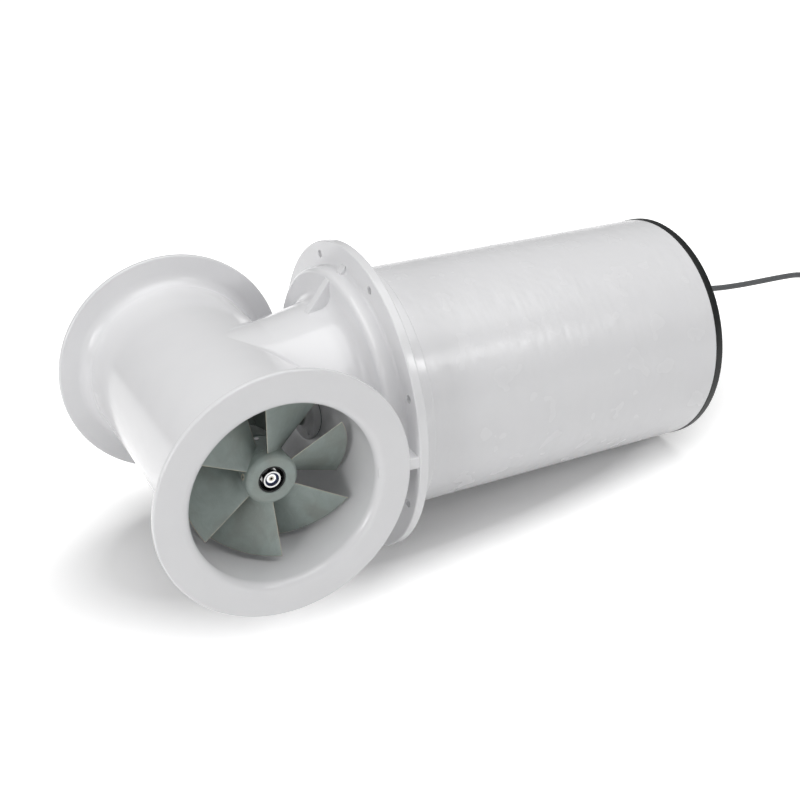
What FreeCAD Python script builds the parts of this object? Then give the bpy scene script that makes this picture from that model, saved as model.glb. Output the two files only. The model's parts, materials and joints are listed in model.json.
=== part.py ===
"""Bow thruster with a T-shaped tunnel housing, sealed motor tube and right-angle gear leg.

Everything is modelled about the crossing of the two axes: the tunnel lies along X, the motor
along Y, and Z is up. Each sub-part is then set back by hull_setback, so that the document's
origin is the centre of the flange face that bolts to the hull. Millimetres throughout.
"""
import FreeCAD, Part
import math
import os
from types import SimpleNamespace
import Sketcher

DRIVING_SIZES = [
    # Tunnel along X
    ("bore_radius", 92.5, "inside of the tunnel"),
    ("tunnel_wall", 3.5, "laminate of the tunnel tube"),
    ("tunnel_half", 166.0, "centre to mouth face"),
    ("rim_radius", 127.5, "outside of each mouth rim"),
    ("rim_thickness", 6.0, "mouth rim, along X"),
    ("mouth_rounding", 8.5, "from mouth face into the bore"),
    ("flare_fillet", 12.0, "from tunnel tube to the back of the rim"),
    ("rim_rounding", 2.0, "outer edges of the rim"),
    # Neck, collar and hull flange along Y
    ("neck_radius", 95.6, "neck where it leaves the tunnel"),
    ("neck_straight", 50.0, "crossing to where the neck widens"),
    ("neck_spread", 13.4, "growth of the neck's radius up to the collar"),
    ("neck_fillet", 13.0, "neck to collar face"),
    ("shell_wall", 5.0, "moulded wall of neck and collar"),
    ("collar_face", 119.5, "crossing to the collar's front face"),
    ("collar_radius", 140.0, "collar in front of the flange"),
    ("collar_depth", 18.5, "collar face to flange"),
    ("collar_rounding", 5.0, "front edge of the collar"),
    ("flange_radius", 166.0, "hull flange"),
    ("flange_thickness", 10.0, "hull flange"),
    ("flange_rounding", 1.5, "edges of the flange"),
    ("sleeve_radius", 137.5, "spigot behind the flange"),
    ("sleeve_length", 24.0, "spigot behind the flange"),
    ("hull_bolt_circle", 152.5, "radius of the hull bolt circle"),
    ("hull_bolt_hole", 4.25, "radius of a hull bolt hole"),
    ("web_thickness", 12.0, "flat webs in the plane of both axes"),
    ("gusset_thickness", 10.0, "upright gussets on the centre plane"),
    ("gusset_foot", 27.0, "length of a gusset along the neck"),
    ("gusset_drop", 4.0, "gusset tip below the collar's edge"),
    ("brace_foot", 7.5, "small brace between collar and flange"),
    # Motor tube and end cap
    ("tube_radius", 130.0, "outside of the motor tube"),
    ("tube_wall", 5.0, "wound wall of the motor tube"),
    ("tube_seat", 8.5, "collar face to the tube's front end"),
    ("tube_length", 407.0, "motor tube"),
    ("cap_lip", 0.5, "how far the cap stands proud of the tube"),
    ("cap_thickness", 10.0, "black end cap"),
    ("cap_spigot", 18.0, "depth of the cap's spigot in the tube"),
    ("cap_ring_depth", 12.0, "bonded ring that takes the cap screws"),
    ("cable_height", 36.0, "cable entry above the motor axis"),
    ("cable_radius", 3.5, "control and power lead"),
    ("fit_gap", 0.05, "radial play of a close fit"),
    # Gear leg
    ("leg_radius", 18.0, "strut of the gear leg"),
    ("saddle_radius", 36.0, "foot of the gear leg under the tunnel wall"),
    ("saddle_depth", 9.0, "foot of the gear leg at its middle"),
    ("spigot_radius", 20.0, "leg spigot through the tunnel wall"),
    ("gearcase_radius", 26.0, "round gearcase at the crossing"),
    ("gearcase_tail", 18.5, "crossing to the gearcase cover"),
    ("gear_chamber", 22.5, "inside of the gearcase"),
    ("waist_radius", 18.5, "shaft tunnel of the gearcase"),
    ("nose_radius", 25.8, "bearing nose beside the propeller"),
    ("nose_start", 56.5, "crossing to the bearing nose"),
    ("nose_face", 83.0, "crossing to the nose's front face"),
    ("cover_depth", 12.0, "gearcase cover"),
    ("gasket", 0.6, "leg gasket"),
    # Gears
    ("gear_module", 1.85, "bevel tooth module at the outer end"),
    ("tooth_face", 7.5, "bevel tooth length along the cone"),
    ("tooth_backlash", 0.35, "thinning of each tooth"),
    # Shafts and bearings
    ("prop_shaft_radius", 7.5, "propeller shaft"),
    ("drive_shaft_radius", 6.0, "upright drive shaft"),
    ("motor_shaft_radius", 8.5, "armature shaft"),
    # Propeller
    ("blade_tip", 85.0, "propeller radius"),
    ("hub_radius", 26.3, "propeller hub"),
    ("hub_back", 86.0, "crossing to the hub's back face"),
    ("hub_length", 42.0, "propeller hub"),
    ("hub_rounding", 4.5, "front edge of the hub"),
    ("hub_recess_radius", 13.8, "recess for the nut"),
    ("hub_recess_depth", 14.0, "recess for the nut"),
    ("leading_root", 36.5, "hub's back face to a blade's front edge at the hub"),
    ("leading_tip", 46.0, "hub's back face to a blade's front edge at the tip"),
    ("trailing_root", 17.0, "hub's back face to a blade's back edge at the hub"),
    ("trailing_tip", 9.5, "hub's back face to a blade's back edge at the tip"),
    ("blade_root_thickness", 5.0, "middle of a blade along X at the hub"),
    ("blade_tip_thickness", 2.6, "middle of a blade along X at the tip"),
    ("blade_edge_thickness", 1.4, "front and back edges of a blade along X"),
    ("blade_sweep", 52.0, "angle that a blade covers, degrees"),
    # Motor
    ("motor_radius", 80.0, "motor casing"),
    ("yoke_wall", 6.0, "steel motor casing"),
    ("yoke_length", 180.0, "steel motor casing"),
    ("bell_length", 18.0, "each end bell"),
    ("armature_radius", 54.0, "laminated core"),
    ("armature_length", 110.0, "laminated core"),
    ("commutator_radius", 26.0, "copper segments"),
    ("air_gap", 2.0, "armature to magnets"),
    # Stored lead
    ("coil_outside", 48.0, "outside of the coiled turns"),
    ("coil_inside", 25.0, "inside of the coiled turns"),
    ("coil_height", 14.0, "two layers of turns"),
    ("tie_thickness", 1.2, "strap round the coil"),
]
PINION_TEETH = 13
CROWN_TEETH = 21
BLADE_COUNT = 6
FIRST_BLADE = 33.0
BLADE_SECTIONS = 5
LOCK_HOLE_ANGLE = 168.0
HULL_BOLTS = 8
FIRST_HULL_BOLT = 22.5
MAGNET_ARC = 74.0
LEG_BOLT_ANGLES = (45, 135, 225, 315)


class Size:
    """A number together with the sheet expression that it comes from."""

    def __init__(self, value, text):
        self.value = value
        self.text = text

    def joined(self, sign, other, value, swapped=False):
        text = other.text if isinstance(other, Size) else repr(float(other))
        left, right = (text, self.text) if swapped else (self.text, text)
        return Size(value, f"({left} {sign} {right})")

    def __add__(self, other):
        return self.joined("+", other, self.value + number(other))

    def __radd__(self, other):
        return self.joined("+", other, number(other) + self.value, True)

    def __sub__(self, other):
        return self.joined("-", other, self.value - number(other))

    def __rsub__(self, other):
        return self.joined("-", other, number(other) - self.value, True)

    def __mul__(self, other):
        return self.joined("*", other, self.value * number(other))

    def __rmul__(self, other):
        return self.joined("*", other, number(other) * self.value, True)

    def __truediv__(self, other):
        return self.joined("/", other, self.value / number(other))

    def __neg__(self):
        return Size(-self.value, f"(-1 * {self.text})")


def number(size):
    return size.value if isinstance(size, Size) else float(size)


def expression(size):
    return size.text if isinstance(size, Size) else repr(float(size))


doc = FreeCAD.newDocument("BowThruster")
sheet = doc.addObject("Spreadsheet::Sheet", "Sizes")
for row, (alias, value, meaning) in enumerate(DRIVING_SIZES, start=1):
    sheet.set(f"A{row}", alias)
    sheet.set(f"B{row}", str(value))
    sheet.set(f"C{row}", meaning)
    sheet.setAlias(f"B{row}", alias)
doc.recompute()
s = SimpleNamespace(**{a: Size(sheet.get(a), f"Sizes.{a}") for a, _, _ in DRIVING_SIZES})

# Stations that several sub-parts share
tunnel_outside = s.bore_radius + s.tunnel_wall
flange_front = s.collar_face + s.collar_depth
hull_setback = flange_front + s.flange_thickness
sleeve_end = hull_setback + s.sleeve_length
tube_start = s.collar_face + s.tube_seat
tube_end = tube_start + s.tube_length
tube_bore = s.tube_radius - s.tube_wall
cap_end = tube_end + s.cap_thickness
hub_front = s.hub_back + s.hub_length
pad_top = tunnel_outside + s.tunnel_wall

# Small standard items: O-rings, screws and gland, and places that hang on them
seal_section = 2.6
seal_depth = 3.5
cap_screw = 3.0
cap_screw_circle = tube_bore - 2 * s.shell_wall
gland_thread = 8.0
gland_flats = 22.0
gland_flange = 6.0
gland_nut_length = 16.0
boot_length = 30.0
leg_bolt = 3.0
leg_bolt_circle = s.spigot_radius + 2 * s.shell_wall
cover_spigot = 4.0
gland_end = cap_end + gland_flange + gland_nut_length

# Bearings by their standard sizes, and where they sit on the two shafts
inner_bearing = SimpleNamespace(outer=16.0, width=9.0)
nose_bearing = SimpleNamespace(outer=17.5, width=11.0)
drive_bearing = SimpleNamespace(outer=14.0, width=8.0)
front_motor_bearing = SimpleNamespace(outer=20.0, width=12.0)
rear_motor_bearing = SimpleNamespace(outer=17.5, width=11.0)
pinion_pitch = s.gear_module * (PINION_TEETH / 2)
crown_pitch = s.gear_module * (CROWN_TEETH / 2)
chamber_end = pinion_pitch + 9.3
nose_bearing_start = s.nose_face - 19.0
crown_hub = s.prop_shaft_radius + 3.0
lower_bearing_start = crown_pitch + 5.0
upper_bearing_start = s.bore_radius - drive_bearing.width

# Stations of the motor and its bracket
bracket_base = pad_top + 6.0
coupling_start = bracket_base - 3.0
coupling_middle = coupling_start + 12.0
bracket_plate = coupling_middle + 6.0
motor_front = bracket_plate + 7.0
yoke_start = motor_front + s.bell_length
yoke_end = yoke_start + s.yoke_length
motor_back = yoke_end + s.bell_length
core_start = yoke_start + 28.0
core_end = core_start + s.armature_length
commutator_start = core_end + 14.0
commutator_end = commutator_start + 22.0
magnet_inside = s.armature_radius + s.air_gap
yoke_bore = s.motor_radius - s.yoke_wall
coupling_radius = 20.0
rear_journal = s.motor_shaft_radius - 1.0
plate_radius = s.motor_radius - s.shell_wall
motor_bolt_circle = s.motor_radius - 3.5 * s.shell_wall
through_bolt_circle = yoke_bore - s.shell_wall

# Stations on the propeller shaft
drive_pin = 2.5
lock_hole = 1.5
nut_thread = 5.0
nut_collar = 8.5
pin_station = s.hub_back + 6.0
shaft_inner_end = pinion_pitch * 0.6
shaft_outer_end = hub_front - 2.5
lock_station = hub_front - 9.0
collar_start = hub_front - 6.0

subparts = []


# ---------------------------------------------------------------- sketch and feature helpers
def origin_part(body, role):
    return next(f for f in body.Origin.OriginFeatures if f.Role == role)


def new_body(label, place=None):
    """A body whose Label names its file, set back so that the hull face is at the origin."""
    body = doc.addObject("PartDesign::Body", label)
    body.Label = label
    body.AllowCompound = True
    if place is None:
        body.setExpression("Placement.Base.y", (-hull_setback).text)
    else:
        body.Placement = place
    subparts.append(body)
    return body


def new_sketch(body, role, offset=0.0):
    """A sketch on one of the body's own planes, moved along that plane's normal."""
    sketch = body.newObject("Sketcher::SketchObject", "Sketch")
    sketch.AttachmentSupport = [(origin_part(body, role), "")]
    sketch.MapMode = "FlatFace"
    if number(offset):
        sketch.setExpression("AttachmentOffset.Base.z", expression(offset))
    return sketch


def bind(sketch, constraint, size):
    index = sketch.addConstraint(constraint)
    if isinstance(size, Size):
        sketch.setExpression(f"Constraints[{index}]", size.text)


def draw_outline(sketch, corners):
    """A closed outline through (across, up) corners; a third value rounds that corner."""
    first = sketch.GeometryCount
    places = [FreeCAD.Vector(number(c[0]), number(c[1]), 0) for c in corners]
    count = len(corners)
    for i in range(count):
        sketch.addGeometry(Part.LineSegment(places[i], places[(i + 1) % count]), False)
    for i in range(count):
        follower = first + (i + 1) % count
        sketch.addConstraint(Sketcher.Constraint("Coincident", first + i, 2, follower, 1))
    for i, corner in enumerate(corners):
        across = Sketcher.Constraint("DistanceX", -1, 1, first + i, 1, places[i].x)
        up = Sketcher.Constraint("DistanceY", -1, 1, first + i, 1, places[i].y)
        bind(sketch, across, corner[0])
        bind(sketch, up, corner[1])
    for i, corner in enumerate(corners):
        if len(corner) == 3:
            arc = sketch.GeometryCount
            sketch.fillet(first + i, 1, number(corner[2]), True, True)
            bind(sketch, Sketcher.Constraint("Radius", arc, number(corner[2])), corner[2])


def draw_circle(sketch, across, up, radius):
    centre = FreeCAD.Vector(number(across), number(up), 0)
    circle = Part.Circle(centre, FreeCAD.Vector(0, 0, 1), number(radius))
    index = sketch.addGeometry(circle, False)
    bind(sketch, Sketcher.Constraint("DistanceX", -1, 1, index, 3, centre.x), across)
    bind(sketch, Sketcher.Constraint("DistanceY", -1, 1, index, 3, centre.y), up)
    bind(sketch, Sketcher.Constraint("Radius", index, number(radius)), radius)


def feature_volume(body):
    doc.recompute()
    return body.Shape.Volume if not body.Shape.isNull() else 0.0


def changed(body, before, feature):
    """Stops the build where a feature added or cut nothing."""
    body.Tip = feature
    if abs(feature_volume(body) - before) < 1e-6:
        raise RuntimeError(f"{body.Label}: {feature.Name} changed nothing")
    return feature


def turn(body, kind, axis, corners, angle=360.0):
    """A Revolution or Groove about X or Y of an outline in the plane of both axes."""
    before = feature_volume(body)
    sketch = new_sketch(body, "XY_Plane")
    draw_outline(sketch, corners)
    feature = body.newObject(f"PartDesign::{kind}", kind)
    feature.Profile = sketch
    feature.ReferenceAxis = (origin_part(body, f"{axis}_Axis"), [""])
    feature.Angle = angle
    return changed(body, before, feature)


def across_axis(radius_station_pairs, axis):
    """Turns (radius, station, rounding) corners into sketch corners for an axis."""
    if axis == "Y":
        return radius_station_pairs
    return [(c[1], c[0]) + tuple(c[2:]) for c in radius_station_pairs]


def turned(label, axis, corners):
    """A piece turned about X or Y from (radius, station, rounding) corners."""
    body = new_body(label)
    turn(body, "Revolution", axis, across_axis(corners, axis))
    return body


def ring_corners(inner, outer, start, end, rounding=None):
    extra = () if rounding is None else (rounding,)
    return [(inner, start), (outer, start) + extra, (outer, end) + extra, (inner, end)]


def ring(label, axis, inner, outer, start, end, rounding=None):
    return turned(label, axis, ring_corners(inner, outer, start, end, rounding))


def cut_ring(body, axis, inner, outer, start, end):
    corners = ring_corners(inner, outer, start, end)
    return turn(body, "Groove", axis, across_axis(corners, axis))


NORMAL_SIGN = {"XY_Plane": 1, "YZ_Plane": 1, "XZ_Plane": -1}


def extrude(body, kind, plane, low, high, outlines=(), circles=()):
    """A Pad or Pocket between two stations along the plane's positive axis."""
    before = feature_volume(body)
    sign = NORMAL_SIGN[plane]
    station = low if (kind == "Pad") == (sign == 1) else high
    sketch = new_sketch(body, plane, station * sign)
    for corners in outlines:
        draw_outline(sketch, corners)
    for circle in circles:
        draw_circle(sketch, *circle)
    feature = body.newObject(f"PartDesign::{kind}", kind)
    feature.Profile = sketch
    feature.Type = 0
    feature.setExpression("Length", expression(high - low))
    return changed(body, before, feature)


def polar(body, features, axis, count):
    before = feature_volume(body)
    pattern = body.newObject("PartDesign::PolarPattern", "PolarPattern")
    pattern.Originals = features
    pattern.Axis = (origin_part(body, f"{axis}_Axis"), [""])
    pattern.Angle = 360.0
    pattern.Occurrences = count
    return changed(body, before, pattern)


def at_angle(radius, degrees):
    """The (across, up) place at an angle on a circle about the sketch's origin."""
    turn_by = math.radians(degrees)
    return radius * round(math.cos(turn_by), 9), radius * round(math.sin(turn_by), 9)


def hexagon(across, up, flats):
    """Corners of a six-sided head or nut of that width across its flats."""
    reach = flats / math.sqrt(3)
    corners = []
    for i in range(6):
        dx, dy = at_angle(reach, 60 * i)
        corners.append((across + dx, up + dy))
    return corners


def bolt_set(label, circle, first_angle, count, shank, start, end, head, head_end):
    """Bolts parallel to Y on one circle: a shank, and a hexagon head at its far end."""
    body = new_body(label)
    place = at_angle(circle, first_angle)
    rod = extrude(body, "Pad", "XZ_Plane", start, end, circles=[(*place, shank)])
    low, high = (end, head_end) if number(head_end) > number(end) else (head_end, start)
    cap = extrude(body, "Pad", "XZ_Plane", low, high, outlines=[hexagon(*place, head)])
    polar(body, [rod, cap], "Y", count)
    return body


# ---------------------------------------------------------------- moulded housing and tube
def build_tunnel_housing():
    """Tunnel, flared mouths, neck, collar, hull flange and sleeve, moulded in one."""
    body = new_body("tunnel_housing")
    neck_end = s.neck_radius + s.neck_spread
    turn(body, "Revolution", "Y", [
        (0, 0),
        (s.neck_radius, 0),
        (s.neck_radius, s.neck_straight),
        (neck_end, s.collar_face, s.neck_fillet),
        (s.collar_radius, s.collar_face, s.collar_rounding),
        (s.collar_radius, flange_front, 2 * s.flange_rounding),
        (s.flange_radius, flange_front, s.flange_rounding),
        (s.flange_radius, hull_setback, s.flange_rounding),
        (s.sleeve_radius, hull_setback),
        (s.sleeve_radius, sleeve_end, s.flange_rounding),
        (0, sleeve_end),
    ])
    web_root = neck_end - s.shell_wall / 2
    web_foot = tunnel_outside - s.tunnel_wall / 2
    half_web = s.web_thickness / 2
    webs = [
        [
            (side * web_root, web_foot),
            (side * s.tunnel_half, web_foot),
            (side * s.tunnel_half, flange_front + half_web / 2),
            (side * web_root, flange_front + half_web / 2),
        ]
        for side in (1, -1)
    ]
    extrude(body, "Pad", "XY_Plane", -half_web, half_web, outlines=webs)
    half_gusset = s.gusset_thickness / 2
    gusset_front = s.collar_face - s.gusset_foot
    neck_slope = s.neck_spread / (s.collar_face - s.neck_straight)
    neck_at_gusset = s.neck_radius + (gusset_front - s.neck_straight) * neck_slope
    brace_front = flange_front - s.brace_foot
    gussets = []
    for side in (1, -1):
        gussets.append([
            (gusset_front, side * neck_at_gusset),
            (s.collar_face + half_gusset, side * (neck_at_gusset - s.shell_wall)),
            (s.collar_face + half_gusset, side * (s.collar_radius - s.gusset_drop)),
            (s.collar_face, side * (s.collar_radius - s.gusset_drop)),
        ])
        gussets.append([
            (brace_front, side * (s.collar_radius - 1)),
            (flange_front + half_gusset / 2, side * (s.collar_radius - 1)),
            (flange_front + half_gusset / 2, side * (s.collar_radius + s.brace_foot)),
            (flange_front, side * (s.collar_radius + s.brace_foot)),
        ])
    extrude(body, "Pad", "YZ_Plane", -half_gusset, half_gusset, outlines=gussets)
    inner_neck = s.neck_radius - s.shell_wall
    inner_face = s.collar_face + s.shell_wall
    socket_lip = tube_bore - s.shell_wall
    turn(body, "Groove", "Y", [
        (0, 0),
        (inner_neck, 0),
        (inner_neck, s.neck_straight),
        (neck_end - s.shell_wall, inner_face, s.neck_fillet / 2),
        (socket_lip, inner_face),
        (socket_lip, tube_start),
        (s.tube_radius + s.fit_gap, tube_start),
        (s.tube_radius + s.fit_gap, sleeve_end),
        (0, sleeve_end),
    ])
    extrude(body, "Pad", "XZ_Plane", s.neck_straight, pad_top,
            circles=[(0, 0, s.saddle_radius + 2 * s.shell_wall)])
    middle_of_wall = s.bore_radius + s.tunnel_wall / 2
    turn(body, "Groove", "X", [
        (-s.tunnel_half + 2 * s.flare_fillet, 0),
        (s.tunnel_half - 2 * s.flare_fillet, 0),
        (s.tunnel_half - 2 * s.flare_fillet, middle_of_wall),
        (-s.tunnel_half + 2 * s.flare_fillet, middle_of_wall),
    ])
    rim_back = s.tunnel_half - s.rim_thickness
    turn(body, "Revolution", "X", [
        (-s.tunnel_half, s.bore_radius, s.mouth_rounding),
        (s.tunnel_half, s.bore_radius, s.mouth_rounding),
        (s.tunnel_half, s.rim_radius, s.rim_rounding),
        (rim_back, s.rim_radius, s.rim_rounding),
        (rim_back, tunnel_outside, s.flare_fillet),
        (-rim_back, tunnel_outside, s.flare_fillet),
        (-rim_back, s.rim_radius, s.rim_rounding),
        (-s.tunnel_half, s.rim_radius, s.rim_rounding),
    ])
    extrude(body, "Pocket", "XZ_Plane", s.neck_straight, pad_top,
            circles=[(0, 0, s.spigot_radius + 4 * s.fit_gap)])
    bolt = extrude(body, "Pocket", "XZ_Plane", s.neck_straight, pad_top,
                   circles=[(*at_angle(leg_bolt_circle, 45), leg_bolt + 4 * s.fit_gap)])
    polar(body, [bolt], "Y", 4)
    hull_hole = extrude(body, "Pocket", "XZ_Plane", flange_front, hull_setback, circles=[
        (*at_angle(s.hull_bolt_circle, FIRST_HULL_BOLT), s.hull_bolt_hole)])
    polar(body, [hull_hole], "Y", HULL_BOLTS)


def build_motor_tube():
    ring("motor_tube", "Y", tube_bore, s.tube_radius, tube_start + s.fit_gap, tube_end)


def build_end_cap():
    """Black cap with a spigot that plugs the tube, an O-ring groove and a cable entry."""
    cap_radius = s.tube_radius + s.cap_lip
    spigot = tube_bore - s.fit_gap
    seal_middle = tube_end - s.cap_spigot / 2
    cap = turned("end_cap", "Y", [
        (0, tube_end - s.cap_spigot),
        (spigot, tube_end - s.cap_spigot, 1.0),
        (spigot, seal_middle - seal_section),
        (spigot - seal_depth, seal_middle - seal_section),
        (spigot - seal_depth, seal_middle + seal_section),
        (spigot, seal_middle + seal_section),
        (spigot, tube_end),
        (cap_radius, tube_end, 0.8),
        (cap_radius, cap_end, 2.5),
        (0, cap_end),
    ])
    turn(cap, "Groove", "Y", [
        (0, tube_end - s.cap_spigot),
        (s.tube_radius - 3 * s.cap_thickness, tube_end - s.cap_spigot),
        (s.tube_radius - 3 * s.cap_thickness, tube_end),
        (0, tube_end),
    ])
    extrude(cap, "Pocket", "XZ_Plane", tube_end, cap_end,
            circles=[(0, s.cable_height, gland_thread + s.fit_gap)])
    hole = extrude(cap, "Pocket", "XZ_Plane", tube_end - s.cap_spigot, cap_end,
                   circles=[(*at_angle(cap_screw_circle, 30), cap_screw + 4 * s.fit_gap)])
    polar(cap, [hole], "Y", 6)
    ring("cap_seal", "Y", spigot - seal_depth, spigot, seal_middle - seal_section + s.fit_gap,
         seal_middle + seal_section - s.fit_gap)
    ring_end = tube_end - s.cap_spigot
    bonded = ring("cap_ring", "Y", cap_screw_circle - 2 * s.shell_wall, tube_bore,
                  ring_end - s.cap_ring_depth, ring_end)
    tapped = extrude(bonded, "Pocket", "XZ_Plane", ring_end - s.cap_ring_depth, ring_end,
                     circles=[(*at_angle(cap_screw_circle, 30), cap_screw + s.fit_gap)])
    polar(bonded, [tapped], "Y", 6)
    bolt_set("cap_screws", cap_screw_circle, 30, 6, cap_screw, ring_end - s.cap_ring_depth,
             cap_end, 10.0, cap_end + 4.0)


def build_cable_gland():
    """Screwed gland in the cap, its dome nut and the tapered sleeve on the lead."""
    nut_start = cap_end + gland_flange
    grip = s.cable_radius + s.fit_gap
    body = new_body("cable_gland")
    extrude(body, "Pad", "XZ_Plane", tube_end, cap_end,
            circles=[(0, s.cable_height, gland_thread), (0, s.cable_height, grip)])
    extrude(body, "Pad", "XZ_Plane", cap_end, nut_start,
            outlines=[hexagon(0, s.cable_height, gland_flats)],
            circles=[(0, s.cable_height, grip)])
    nut = new_body("gland_nut")
    extrude(nut, "Pad", "XZ_Plane", nut_start, gland_end - 4.0,
            outlines=[hexagon(0, s.cable_height, gland_flats - 2)],
            circles=[(0, s.cable_height, grip)])
    extrude(nut, "Pad", "XZ_Plane", gland_end - 4.0, gland_end,
            circles=[(0, s.cable_height, gland_flats / 2 - 3), (0, s.cable_height, grip)])
    boot = doc.addObject("Part::Cone", "BootOutside")
    boot.setExpression("Radius1", (s.cable_radius + 3.2).text)
    boot.setExpression("Radius2", (s.cable_radius + 1.0).text)
    boot.setExpression("Height", expression(boot_length))
    hole = doc.addObject("Part::Cylinder", "BootInside")
    hole.setExpression("Radius", grip.text)
    hole.setExpression("Height", expression(boot_length))
    sleeve = doc.addObject("Part::Cut", "cable_boot")
    sleeve.Base = boot
    sleeve.Tool = hole
    sleeve.Label = "cable_boot"
    sleeve.Placement = FreeCAD.Placement(
        FreeCAD.Vector(0, number(gland_end - hull_setback), number(s.cable_height)),
        FreeCAD.Rotation(FreeCAD.Vector(1, 0, 0), -90),
    )
    sleeve.setExpression("Placement.Base.y", (gland_end - hull_setback).text)
    sleeve.setExpression("Placement.Base.z", s.cable_height.text)
    subparts.append(sleeve)


# ---------------------------------------------------------------- gear leg
def build_gear_leg():
    """Strut, saddle foot, gearcase and bearing nose in one casting, bored for its shafts."""
    body = new_body("gear_leg")
    saddle_under = s.bore_radius - s.saddle_depth
    turn(body, "Revolution", "Y", [
        (0, 0),
        (s.leg_radius, 0),
        (s.leg_radius, saddle_under, 7.0),
        (s.saddle_radius, saddle_under, 2.0),
        (s.saddle_radius, s.bore_radius + s.saddle_depth),
        (0, s.bore_radius + s.saddle_depth),
    ])
    cut_ring(body, "X", s.bore_radius - s.gasket, 2 * s.bore_radius,
             -2 * s.saddle_radius, 2 * s.saddle_radius)
    case_end = s.gearcase_radius - 4.0
    turn(body, "Revolution", "X", across_axis([
        (0, -s.gearcase_tail),
        (s.gearcase_radius, -s.gearcase_tail, 1.0),
        (s.gearcase_radius, case_end, 9.0),
        (s.waist_radius, case_end + 12.0, 9.0),
        (s.waist_radius, s.nose_start - 2.0),
        (s.nose_radius, s.nose_start, 8.5),
        (s.nose_radius, s.nose_face, 1.5),
        (0, s.nose_face),
    ], "X"))
    extrude(body, "Pad", "XZ_Plane", s.bore_radius - s.saddle_depth, pad_top,
            circles=[(0, 0, s.spigot_radius)])
    turn(body, "Groove", "X", across_axis([
        (0, -s.gearcase_tail),
        (s.gear_chamber, -s.gearcase_tail),
        (s.gear_chamber, chamber_end),
        (inner_bearing.outer + s.fit_gap, chamber_end),
        (inner_bearing.outer + s.fit_gap, chamber_end + inner_bearing.width),
        (s.prop_shaft_radius + 1.0, chamber_end + inner_bearing.width),
        (s.prop_shaft_radius + 1.0, nose_bearing_start),
        (nose_bearing.outer + s.fit_gap, nose_bearing_start),
        (nose_bearing.outer + s.fit_gap, s.nose_face),
        (0, s.nose_face),
    ], "X"))
    turn(body, "Groove", "Y", [
        (0, 0),
        (drive_bearing.outer + s.fit_gap, 0),
        (drive_bearing.outer + s.fit_gap, lower_bearing_start + drive_bearing.width),
        (s.drive_shaft_radius + 1.0, lower_bearing_start + drive_bearing.width),
        (s.drive_shaft_radius + 1.0, upper_bearing_start),
        (drive_bearing.outer + s.fit_gap, upper_bearing_start),
        (drive_bearing.outer + s.fit_gap, pad_top),
        (0, pad_top),
    ])
    extrude(body, "Pocket", "XZ_Plane", s.bore_radius - s.saddle_depth, pad_top, circles=[
        (*at_angle(leg_bolt_circle, angle), leg_bolt + s.fit_gap) for angle in LEG_BOLT_ANGLES])


def build_gearcase_cover():
    """Domed cover that closes the gearcase, with the spigot that seals in its bore."""
    tail = -s.gearcase_tail
    body = turned("gearcase_cover", "X", [
        (0, tail - s.cover_depth),
        (s.gearcase_radius, tail - s.cover_depth, s.cover_depth - 1.5),
        (s.gearcase_radius, tail),
        (s.gear_chamber - s.fit_gap, tail),
        (s.gear_chamber - s.fit_gap, tail + cover_spigot),
        (0, tail + cover_spigot),
    ])
    turn(body, "Groove", "X", across_axis([
        (0, tail),
        (s.gear_chamber - 4.0, tail),
        (s.gear_chamber - 4.0, tail + cover_spigot),
        (0, tail + cover_spigot),
    ], "X"))


def build_leg_gasket():
    """Thin gasket between the leg's foot and the tunnel wall, curved like the bore."""
    body = new_body("leg_gasket")
    extrude(body, "Pad", "XZ_Plane", s.neck_straight, s.bore_radius + s.saddle_depth, circles=[
        (0, 0, s.saddle_radius), (0, 0, s.spigot_radius + 4 * s.fit_gap)])
    cut_ring(body, "X", 0, s.bore_radius - s.gasket, -2 * s.saddle_radius, 2 * s.saddle_radius)
    cut_ring(body, "X", s.bore_radius - s.fit_gap, 2 * s.bore_radius,
             -2 * s.saddle_radius, 2 * s.saddle_radius)
    hole = extrude(body, "Pocket", "XZ_Plane", s.neck_straight, pad_top,
                   circles=[(*at_angle(leg_bolt_circle, 45), leg_bolt + 4 * s.fit_gap)])
    polar(body, [hole], "Y", 4)


def build_bearing(label, axis, bearing, shaft, start):
    """A sealed ball bearing as one ring, its races standing proud of the seals."""
    inner = shaft + s.fit_gap
    race = (bearing.outer - inner) / 4
    shy = 0.6
    end = start + bearing.width
    turned(label, axis, [
        (inner, start),
        (inner + race, start),
        (inner + race, start + shy),
        (bearing.outer - race, start + shy),
        (bearing.outer - race, start),
        (bearing.outer, start, 0.6),
        (bearing.outer, end, 0.6),
        (bearing.outer - race, end),
        (bearing.outer - race, end - shy),
        (inner + race, end - shy),
        (inner + race, end),
        (inner, end),
    ])


def build_lip_seal(label, axis, bearing, shaft, start, end):
    """A rotary shaft seal: a ring with its lip set back from the outer face."""
    inner = shaft + s.fit_gap
    middle = (inner + bearing.outer) / 2
    turned(label, axis, [
        (inner, start),
        (bearing.outer, start),
        (bearing.outer, end),
        (middle, end),
        (middle, end - 1.5),
        (inner + 1.0, end - 1.5),
        (inner, end - 2.5),
    ])


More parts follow.
